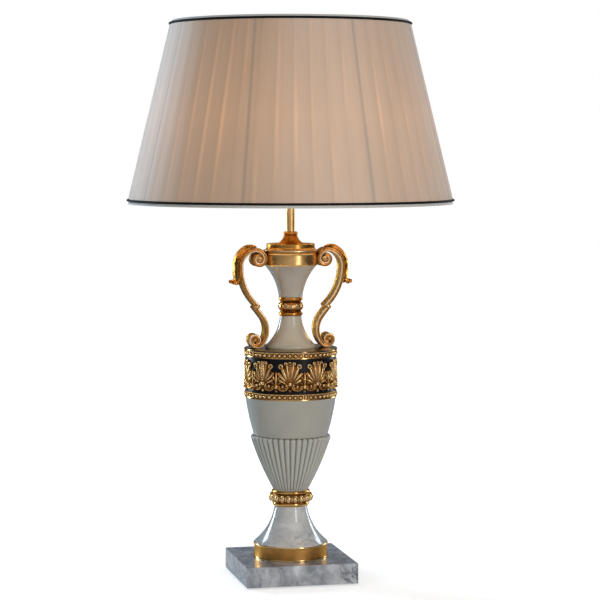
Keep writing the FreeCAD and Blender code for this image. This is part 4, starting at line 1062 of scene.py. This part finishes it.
# %% The handle's line
start_angle, upper_centre, upper_radius = 163.0, Vector((46.1, 446.4)), 8.2
lower_start_angle, lower_centre, lower_radius = 220.4, Vector((49.4, 334.15)), 8.6
crown_radius, crown_sweep = 13.9, 86.5
bend_radius, bend_sweep = 22.5, 75.6
flank_radius, flank_sweep = 75.3, 47
overlap = 2.6
upper_arcs = [(crown_radius, crown_sweep), (bend_radius, bend_sweep), (flank_radius, flank_sweep)]
upper_curl_arcs = [(upper_radius, 150.8), (6.3, 110), (4.4, 60)]
lower_arcs = [(30, 76), (200, 4.8)]
lower_curl_arcs = [(lower_radius, 139), (5.4, 190), (3.4, 90)]
upper_run = run_of_arcs(upper_centre, upper_radius, start_angle, upper_arcs, True)
upper_curl = run_of_arcs(upper_centre, upper_radius, start_angle, upper_curl_arcs, False)
lower_run = run_of_arcs(lower_centre, lower_radius, lower_start_angle, lower_arcs, True)
lower_curl = run_of_arcs(lower_centre, lower_radius, lower_start_angle, lower_curl_arcs, False)
upper_line = without_repeats(upper_curl[::-1] + lengthened(upper_run, overlap))
lower_line = without_repeats(lengthened(lower_run, overlap)[::-1] + lower_curl)
print("Handle points:", len(upper_line), len(lower_line))
print("Upper run ends at", upper_line[-1], "and the lower one starts at", lower_line[0])


# %% Drawing a section along a line
def flat_curve(name, points, closed):
    """A flat curve through points in millimetres."""
    data = bpy.data.curves.new(name, "CURVE")
    data.dimensions = "2D"
    data.fill_mode = "NONE"
    spline = data.splines.new("POLY")
    spline.points.add(len(points) - 1)
    for corner, spot in zip(spline.points, points):
        corner.co = (spot[0] * mm, spot[1] * mm, 0, 1)
    spline.use_cyclic_u = closed
    curve = bpy.data.objects.new(name, data)
    bpy.context.scene.collection.objects.link(curve)
    return curve


def drawn_along(name, section, line):
    """A closed section drawn along an open line, stood up so that the line lies in the X-Z plane."""
    shape = flat_curve(name + "_section", section, True)
    path = flat_curve(name, line, False)
    path.data.bevel_mode = "OBJECT"
    path.data.bevel_object = shape
    path.data.use_fill_caps = True
    take(path)
    bpy.ops.object.convert(target="MESH")
    bpy.data.objects.remove(shape)
    piece = bpy.context.object
    piece.data.transform(Matrix.Rotation(math.radians(90), 4, "X"))
    edit(piece)
    bpy.ops.mesh.remove_doubles(threshold=1e-6)
    bpy.ops.mesh.fill_holes(sides=0)
    leave()
    return piece


def mark_outer_side(piece, line):
    """Writes on each corner how far it lies outside the line, in millimetres, for the finish to read."""
    marks = piece.data.attributes.new("outer_side", "FLOAT", "POINT")
    for corner, mark in zip(piece.data.vertices, marks.data):
        spot = Vector((corner.co.x, corner.co.z)) / mm
        nearest = min(range(len(line) - 1), key=lambda number: (line[number] - spot).length)
        way = (line[nearest + 1] - line[nearest]).normalized()
        mark.value = (spot - line[nearest]).dot(Vector((-way.y, way.x)))


print("Strap helpers ready")

# %% The straps
front_edge = [(-3.2, 11.3), (-2.5, 12.9), (-1.8, 13.9), (-1.2, 14), (-0.9, 13.5), (-0.5, 12.7), (0, 12.5)]
front_edge += [(-across, out) for across, out in reversed(front_edge[:-1])]
broad_side = [(2.7, 10.9), (2.5, 10.2)]
front_half = [(-across, out) for across, out in reversed(broad_side)] + front_edge + broad_side
strap_section = front_half + [(-across, -out) for across, out in front_half]
strap_upper = drawn_along("strap_upper", strap_section, upper_line)
strap_lower = drawn_along("strap_lower", strap_section, lower_line)
mark_outer_side(strap_upper, upper_line)
mark_outer_side(strap_lower, lower_line)
print("Strap faces:", len(strap_upper.data.polygons), len(strap_lower.data.polygons))

# %% [markdown]
# The scrolls end in round eyes, front and back. Where the two scrolls meet they overlap in a step, and a
# small lozenge covers the joint.


# %% Scroll eyes and the step
def scroll_eye(centre, radius):
    """A turned eye through the strap, with a dome at each end."""
    dome = [(1, 12.0), (0.98, 13.2), (0.86, 14.4), (0.66, 15.2), (0.4, 15.7)]
    end = [(radius * share, out) for share, out in dome] + [(0.3, 15.9)]
    outline = [(across, -out) for across, out in reversed(end)] + end
    eye = turned("eye", outline, 28)
    eye.data.transform(Matrix.Rotation(math.radians(90), 4, "X"))
    eye.data.transform(Matrix.Translation((centre[0] * mm, 0, centre[1] * mm)))
    return eye


upper_eye = scroll_eye(upper_centre, 4.4)
eye_turn = math.radians(lower_start_angle + lower_curl_arcs[0][1])
eye_shift = lower_radius - lower_curl_arcs[1][0]
lower_eye_centre = lower_centre + Vector((math.cos(eye_turn), math.sin(eye_turn))) * eye_shift
lower_eye = scroll_eye(lower_eye_centre, 3.2)
back_lozenge = moved(drop(9.6, 5.4, 2.0, 8, 8), 50.3, 13.6, 379.8, 24)
lozenge = copied(back_lozenge, Matrix.Diagonal((1, -1, 1, 1)))
handle = joined("handle", [strap_upper, strap_lower, upper_eye, lower_eye, lozenge, back_lozenge])
handle_left = copied(handle, Matrix.Diagonal((-1, 1, 1, 1)))
place_piece(handle, "handle_scroll_right", strap_gilt, "lamp", "handle_right", angle=40)
place_piece(handle_left, "handle_scroll_left", strap_gilt, "lamp", "handle_left", angle=40)

# %% [markdown]
# An acanthus leaf lies on the outside of each upper scroll. It is a grid bent along the handle's own
# line: its width swells into lobes, its middle has a vein, finer veins run out to the lobes, and its tip
# curls away from the strap.

# %% The leaf's line
leaf_offset = 6.0
leaf_crown_sweep, leaf_flank_sweep = 20, 12.5
start_turn = math.radians(start_angle)
start_way = Vector((math.cos(start_turn), math.sin(start_turn)))
crown_centre = upper_centre - start_way * (crown_radius - upper_radius)
leaf_arcs = [
    (crown_radius + leaf_offset, leaf_crown_sweep), (bend_radius + leaf_offset, bend_sweep),
    (flank_radius + leaf_offset, leaf_flank_sweep),
]
leaf_angle = start_angle - (crown_sweep - leaf_crown_sweep)
leaf_line = without_repeats(run_of_arcs(crown_centre, leaf_arcs[0][0], leaf_angle, leaf_arcs, True, step=2.0))
tip_start, before = leaf_line[-1], leaf_line[-2]
heading = (tip_start - before).normalized()
tip_radius = 4.6
tip_centre = tip_start + Vector((-heading.y, heading.x)) * tip_radius
tip_angle = math.degrees(math.atan2(tip_start.y - tip_centre.y, tip_start.x - tip_centre.x))
tip = run_of_arcs(tip_centre, tip_radius, tip_angle, [(tip_radius, 80), (2.6, 100)], False, step=10)
leaf_line = without_repeats(leaf_line + tip)
print("Leaf points:", len(leaf_line), "from", leaf_line[0], "to", leaf_line[-1])


# %% Bending a grid along it
def along_line(line, share):
    """The place and the outward direction at a share of a line's points."""
    at = min(share * (len(line) - 1), len(line) - 1.001)
    number = int(at)
    spot = line[number].lerp(line[number + 1], at - number)
    way = (line[number + 1] - line[number]).normalized()
    return spot, Vector((-way.y, way.x))


lobe_count, leaf_half_width = 9, 12.6


def leaf_corner(share, side):
    """The place of one corner of the leaf, from its root (0) to its tip (1) and across (-1 to 1)."""
    spot, out = along_line(leaf_line, share)
    swell = math.sin(math.pi * min(share * 1.25 + 0.22, 1.0) * 0.5)
    lower = min(max(share * 2 - 0.7, 0), 1)
    lobes = 1 - 0.14 * lower * (1 - abs(math.sin(math.pi * lobe_count * share)))
    half_width = leaf_half_width * swell * lobes * (1 - 0.3 * max(share - 0.9, 0) / 0.1)
    vein = 0.7 * math.exp(-(side / 0.12)**2) + 0.5 * math.exp(-((abs(side) - 0.5) / 0.12)**2)
    branch_wave = math.cos(2 * math.pi * (lobe_count * share - 1.2 * abs(side)))
    branch = 0.5 * lower * branch_wave * min(abs(side) * 3, 1)
    thin_start = min(0.35 + share * 3, 1)
    crown = (1.2 - 4.4 * side**4) * thin_start
    spot = spot + out * ((crown + vein + branch) * thin_start - (1 - thin_start) * 3.9)
    return Vector((spot.x, -side * half_width, spot.y)) * mm


print("Leaf helpers ready")

# %% The leaf
bpy.ops.object.select_all(action="DESELECT")
bpy.ops.mesh.primitive_grid_add(x_subdivisions=130, y_subdivisions=36, size=1)
leaf = bpy.context.object
for vertex in leaf.data.vertices:
    vertex.co = leaf_corner(vertex.co.x + 0.5, vertex.co.y * 2)
take(leaf)
thicken = leaf.modifiers.new("Thicken", "SOLIDIFY")
thicken.thickness = 0.0016
thicken.offset = -1
bpy.ops.object.modifier_apply(modifier=thicken.name)
edit(leaf)
leave()
print("Leaf faces:", len(leaf.data.polygons))

# %% Leaves in place
leaf_twin = copied(leaf, Matrix.Diagonal((-1, 1, 1, 1)))
place_piece(leaf, "acanthus_right", leaf_gilt, "lamp", "handle_leaf_right", angle=50)
place_piece(leaf_twin, "acanthus_left", leaf_gilt, "lamp", "handle_leaf_left", angle=50)

# %% [markdown]
# ## The pleated cover
#
# The shade is covered with strips of organza that are gathered into fine pleats and overlap a little, so
# the cloth is denser at every overlap. The lit bulb glows through the thinner places. The cover is one
# cone with a soft step at each overlap. Its cloth takes its colour from the angle round the shade: grey
# lines of painted shadow where the ribs lie, a darker and warmer side of painted shade, and a paler,
# bluer side of painted light.


# %% The cloth's finish
def facing_share(finish, angle, width):
    """1 where a round piece faces an angle in degrees, falling to 0 where it faces a width away."""
    across, along, up = finish.parts()
    angle, width = math.radians(angle), math.radians(width)
    toward = (across * math.cos(angle) + along * math.sin(angle)) / (across * across + along * along) ** 0.5
    return ((toward - math.cos(width)) / (1 - math.cos(width))).clamped()


cover_low, cover_high = (225.3, 529.0), (167.2, 767.4)
strip_count, pleats_per_strip, rib_count = 51, 7, 8
rib_turn = 16.4 / 360 + 0.5
organza = Finish("PleatedOrganza", (0.5, 0.46, 0.42), 0.75, Sheen_Weight=0.6, Sheen_Roughness=0.3)
height = organza.parts()[2]
turn = organza.turn()
wander = organza.noise(5, 2, stretch=(1, 1, 0.25))
strip = turn * strip_count + (wander - 0.5) * 0.7
inside_strip = strip.sum("FRACT", strip)
fold = 1 - abs(inside_strip - 0.5) * 2
fine = turn.wave(strip_count * pleats_per_strip) * 0.5 + organza.noise(260, 2, stretch=(1, 1, 0.02)) * 0.5
streak = organza.noise(16, 3, stretch=(1, 1, 0.12))
overlap_line = (1 - inside_strip / 0.045).clamped()
shade_of_strip = (fold * 0.12 + fine * 0.15 + streak * 0.8).clamped()
cloth = organza.ramp(shade_of_strip, (0.1, (0.37, 0.3, 0.245)), (0.9, (0.52, 0.425, 0.358)))
rib_place = (turn - rib_turn) * rib_count
rib_near = abs(rib_place.sum("FRACT", rib_place + 0.5) - 0.5)
# Painted shadow of the ribs on the cloth.
rib_shadow = (1 - rib_near / 0.022).clamped()
cloth = organza.mixed(overlap_line * 0.3, cloth, (0.26, 0.2, 0.16))
cloth = organza.mixed(rib_shadow * 0.5, cloth, (0.24, 0.23, 0.23))
# A darker, warmer side of painted shade, and a paler, bluer side of painted light.
side_shade_above = ((height - cover_low[1] * mm) * 2.2 + 0.6).clamped()
painted_shade_side = facing_share(organza, -128, 28) * side_shade_above
painted_light_side = facing_share(organza, 175, 42)
cloth = organza.mixed(painted_shade_side, cloth, (0.82, 0.75, 0.68), "MULTIPLY")
cloth = organza.mixed(painted_light_side, cloth, (1.28, 1.45, 1.6), "MULTIPLY")
organza.drive("Base Color", cloth)
print("Cloth strips:", strip_count)

# %% The glow through the cloth
glow_height = 0.64
near_bulb = (1 - abs(height - glow_height) / 0.24).clamped() ** 1.1
gap = (1 - abs(inside_strip - 0.2) / 0.16).clamped()
lit_streak = (organza.noise(22, 2, stretch=(1, 1, 0.1)) * 3 - 1.1).clamped()
# The ribs' painted shadow also dims the glow.
glow = near_bulb * (0.29 + gap * lit_streak * 0.36 + fold * 0.04) * (1 - rib_shadow * 0.5)
organza.drive("Emission Color", organza.mixed(glow.clamped(), (0.02, 0.014, 0.01), (1, 0.45, 0.16)))
organza.shader.inputs["Emission Strength"].default_value = 0.55
organza.bump(fine, 0.1, 0.0004)
print("Glow centred at", glow_height)


# %% The cover's shape
def cone_radius(height, inward=0.0):
    """The cover's outer radius at a height, less a distance, in millimetres."""
    share = (height - cover_low[1]) / (cover_high[1] - cover_low[1])
    return cover_low[0] + (cover_high[0] - cover_low[0]) * share - inward


def cone_wall(name, low, high, inward, thick, sides, rows):
    """A closed conical wall with evenly spaced rings."""
    levels = [low + (high - low) * row / rows for row in range(rows + 1)]
    outline = [(cone_radius(level, inward), level) for level in levels]
    outline += [(cone_radius(level, inward + thick), level) for level in reversed(levels)]
    return turned(name, outline, sides)


overlap_step, step_share = 0.35, 0.08
sides = strip_count * pleats_per_strip * 2
cover = cone_wall("pleated_cover", cover_low[1], cover_high[1], 1.1, 0.6, sides, 8)
for vertex in cover.data.vertices:
    angle = math.atan2(vertex.co.y, vertex.co.x) / (2 * math.pi) * strip_count
    share = angle % 1.0
    step = overlap_step * (1 - share if share > step_share else share / step_share)
    pleat = 0.05 * math.cos(2 * math.pi * pleats_per_strip * angle)
    out = 1 + (step - overlap_step + pleat) * mm / math.hypot(vertex.co.x, vertex.co.y)
    vertex.co.x *= out
    vertex.co.y *= out
place_piece(cover, "pleated_cover", organza, "shade", "shade_cover", angle=60)
cover_area = sum(face.area for face in cover.data.polygons) / 2
cover_length = math.hypot(cover_high[1] - cover_low[1], cover_low[0] - cover_high[0]) * mm
round(cover_area / cover_length, 3)
print("Cover cloth:", round(cover_area, 4), "square metres")

# %% [markdown]
# ## Lining, ribbon and piping
#
# A smooth white lining hides the wires inside. A grey ribbon is folded over each rim, and a black cord,
# twisted from three strands, is sewn along it.

# %% Lining
lining_cloth = Finish("LiningCloth", (0.82, 0.78, 0.7), 0.85, Sheen_Weight=0.3)
lining_height = lining_cloth.parts()[2]
lining_glow = (1 - abs(lining_height - glow_height) / 0.17).clamped()
weave = lining_cloth.noise(700, 2, stretch=(1, 1, 0.3))
lining_cloth.drive("Base Color", lining_cloth.mixed(weave, (0.72, 0.68, 0.6), (0.86, 0.83, 0.76)))
lining_cloth.drive("Emission Color", lining_cloth.mixed(lining_glow, (0.05, 0.03, 0.02), (1, 0.62, 0.3)))
lining_cloth.shader.inputs["Emission Strength"].default_value = 0.15
lining_cloth.bump(weave, 0.15, 0.0003)
lining_low, lining_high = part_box("shade_lining")[0].z / mm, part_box("shade_lining")[1].z / mm
lining = cone_wall("smooth_lining", lining_low, lining_high, 6.4, 0.4, 192, 4)
place_piece(lining, "smooth_lining", lining_cloth, "shade", "shade_lining", angle=60)
lining_area = sum(face.area for face in lining.data.polygons) / 2
lining_length = (lining_high - lining_low) / (cover_high[1] - cover_low[1]) * cover_length
round(lining_area / lining_length, 3)
print("Lining cloth:", round(lining_area, 4), "square metres")

# %% Ribbon
ribbon_cloth = Finish("GreyRibbon", (0.5, 0.49, 0.48), 0.7, Sheen_Weight=0.4)
ribs_across = ribbon_cloth.turn().wave(900)
ribbon_cloth.drive("Base Color", ribbon_cloth.mixed(ribs_across, (0.4, 0.39, 0.38), (0.58, 0.57, 0.55)))
ribbon_cloth.bump(ribs_across, 0.3, 0.0003)


def ribbon(name, node):
    """A ribbon folded in half along its length, in the place of its plain CAD band. Its fold is outermost."""
    low, high = (corner.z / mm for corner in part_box(node))
    at_bottom = high < cover_high[1]
    fold, edge = (low, high) if at_bottom else (high, low)
    levels = [edge + (fold - edge) * share for share in (0, 0.1, 0.5, 0.9, 0.97, 1)]
    front = [2.9, 2.8, 2.75, 2.8, 2.86, 2.97]
    back = [3.18, 3.28, 3.35, 3.38, 3.38, 3.34]
    outline = [(cone_radius(z, inward), z) for z, inward in zip(levels, front)]
    outline += [(cone_radius(z, inward), z) for z, inward in zip(reversed(levels), back)]
    fold_inside = fold + (edge - fold) * 0.05
    outline += [(cone_radius(edge, 3.2), edge), (cone_radius(fold_inside, 3.14), fold_inside)]
    outline += [(cone_radius(fold_inside, 3.04), fold_inside), (cone_radius(edge, 3.05), edge)]
    band = turned(name, outline, 240)
    place_piece(band, name, ribbon_cloth, "shade", node, angle=60)
    area = sum(face.area for face in band.data.polygons) / 2
    width = (high - low) * mm * 2
    round(area / width, 3)


ribbon("bottom_ribbon", "bottom_tape")
ribbon("top_ribbon", "top_tape")
print("Ribbons ready")

# %% Piping
cord_black = Finish("BlackPiping", (0.004, 0.004, 0.005), 0.8, Specular_IOR_Level=0.2)
strand = cord_black.noise(1400, 2)
cord_black.drive("Base Color", cord_black.mixed(strand, (0.002, 0.002, 0.002), (0.008, 0.008, 0.009)))
cord_black.bump(strand, 0.3, 0.0002)


strand_count, twist_count, cord_sides, cord_steps = 3, 160, 12, 1280


def piping(name, node):
    """Twisted strands in the place of the plain CAD cord."""
    low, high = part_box(node)
    thick = (high.z - low.z) / 2
    middle = (low.z + high.z) / 2
    radius = high.x - thick
    outline = []
    for number in range(cord_sides):
        turn = math.radians(360 / cord_sides * number)
        outline.append(((radius + thick * math.cos(turn)) / mm, (middle + thick * math.sin(turn)) / mm))
    cord = turned(name, outline, cord_steps)
    for vertex in cord.data.vertices:
        along = math.atan2(vertex.co.y, vertex.co.x)
        reach = math.hypot(vertex.co.x, vertex.co.y) - radius
        around_cord = math.atan2(vertex.co.z - middle, reach)
        lobe = 1 - 0.1 * abs(math.sin(strand_count / 2 * (around_cord + along * twist_count)))
        spread = (radius + reach * lobe) / (radius + reach)
        lifted = middle + (vertex.co.z - middle) * lobe
        vertex.co = (vertex.co.x * spread, vertex.co.y * spread, lifted)
    place_piece(cord, name, cord_black, "shade", node, angle=70)


piping("bottom_cord_piping", "bottom_piping")
piping("top_cord_piping", "top_piping")
print("Piping ready")

# %% [markdown]
# ## The lit bulb
#
# The lamp is switched on. A small warm light inside the globe lights the lining, the wires and the top of
# the brass cap. The globe casts no shadow, so that this light gets out of it.

# %% Bulb light
bulb = bpy.data.lights.new("BulbLight", "POINT")
bulb.energy = 1.0
bulb.color = (1, 0.62, 0.3)
bulb.shadow_soft_size = 0.028
bulb_object = bpy.data.objects.new("BulbLight", bulb)
bulb_object.location = (0, 0, 0.655)
bpy.context.scene.collection.objects.link(bulb_object)
nodes["bulb_glass"].visible_shadow = False
print("Bulb power:", bulb.energy)

# %% [markdown]
# ## Finish
#
# The plain look: Blender's standard view, with no grading.

# %% Finish
bpy.context.scene.view_settings.view_transform = "Standard"
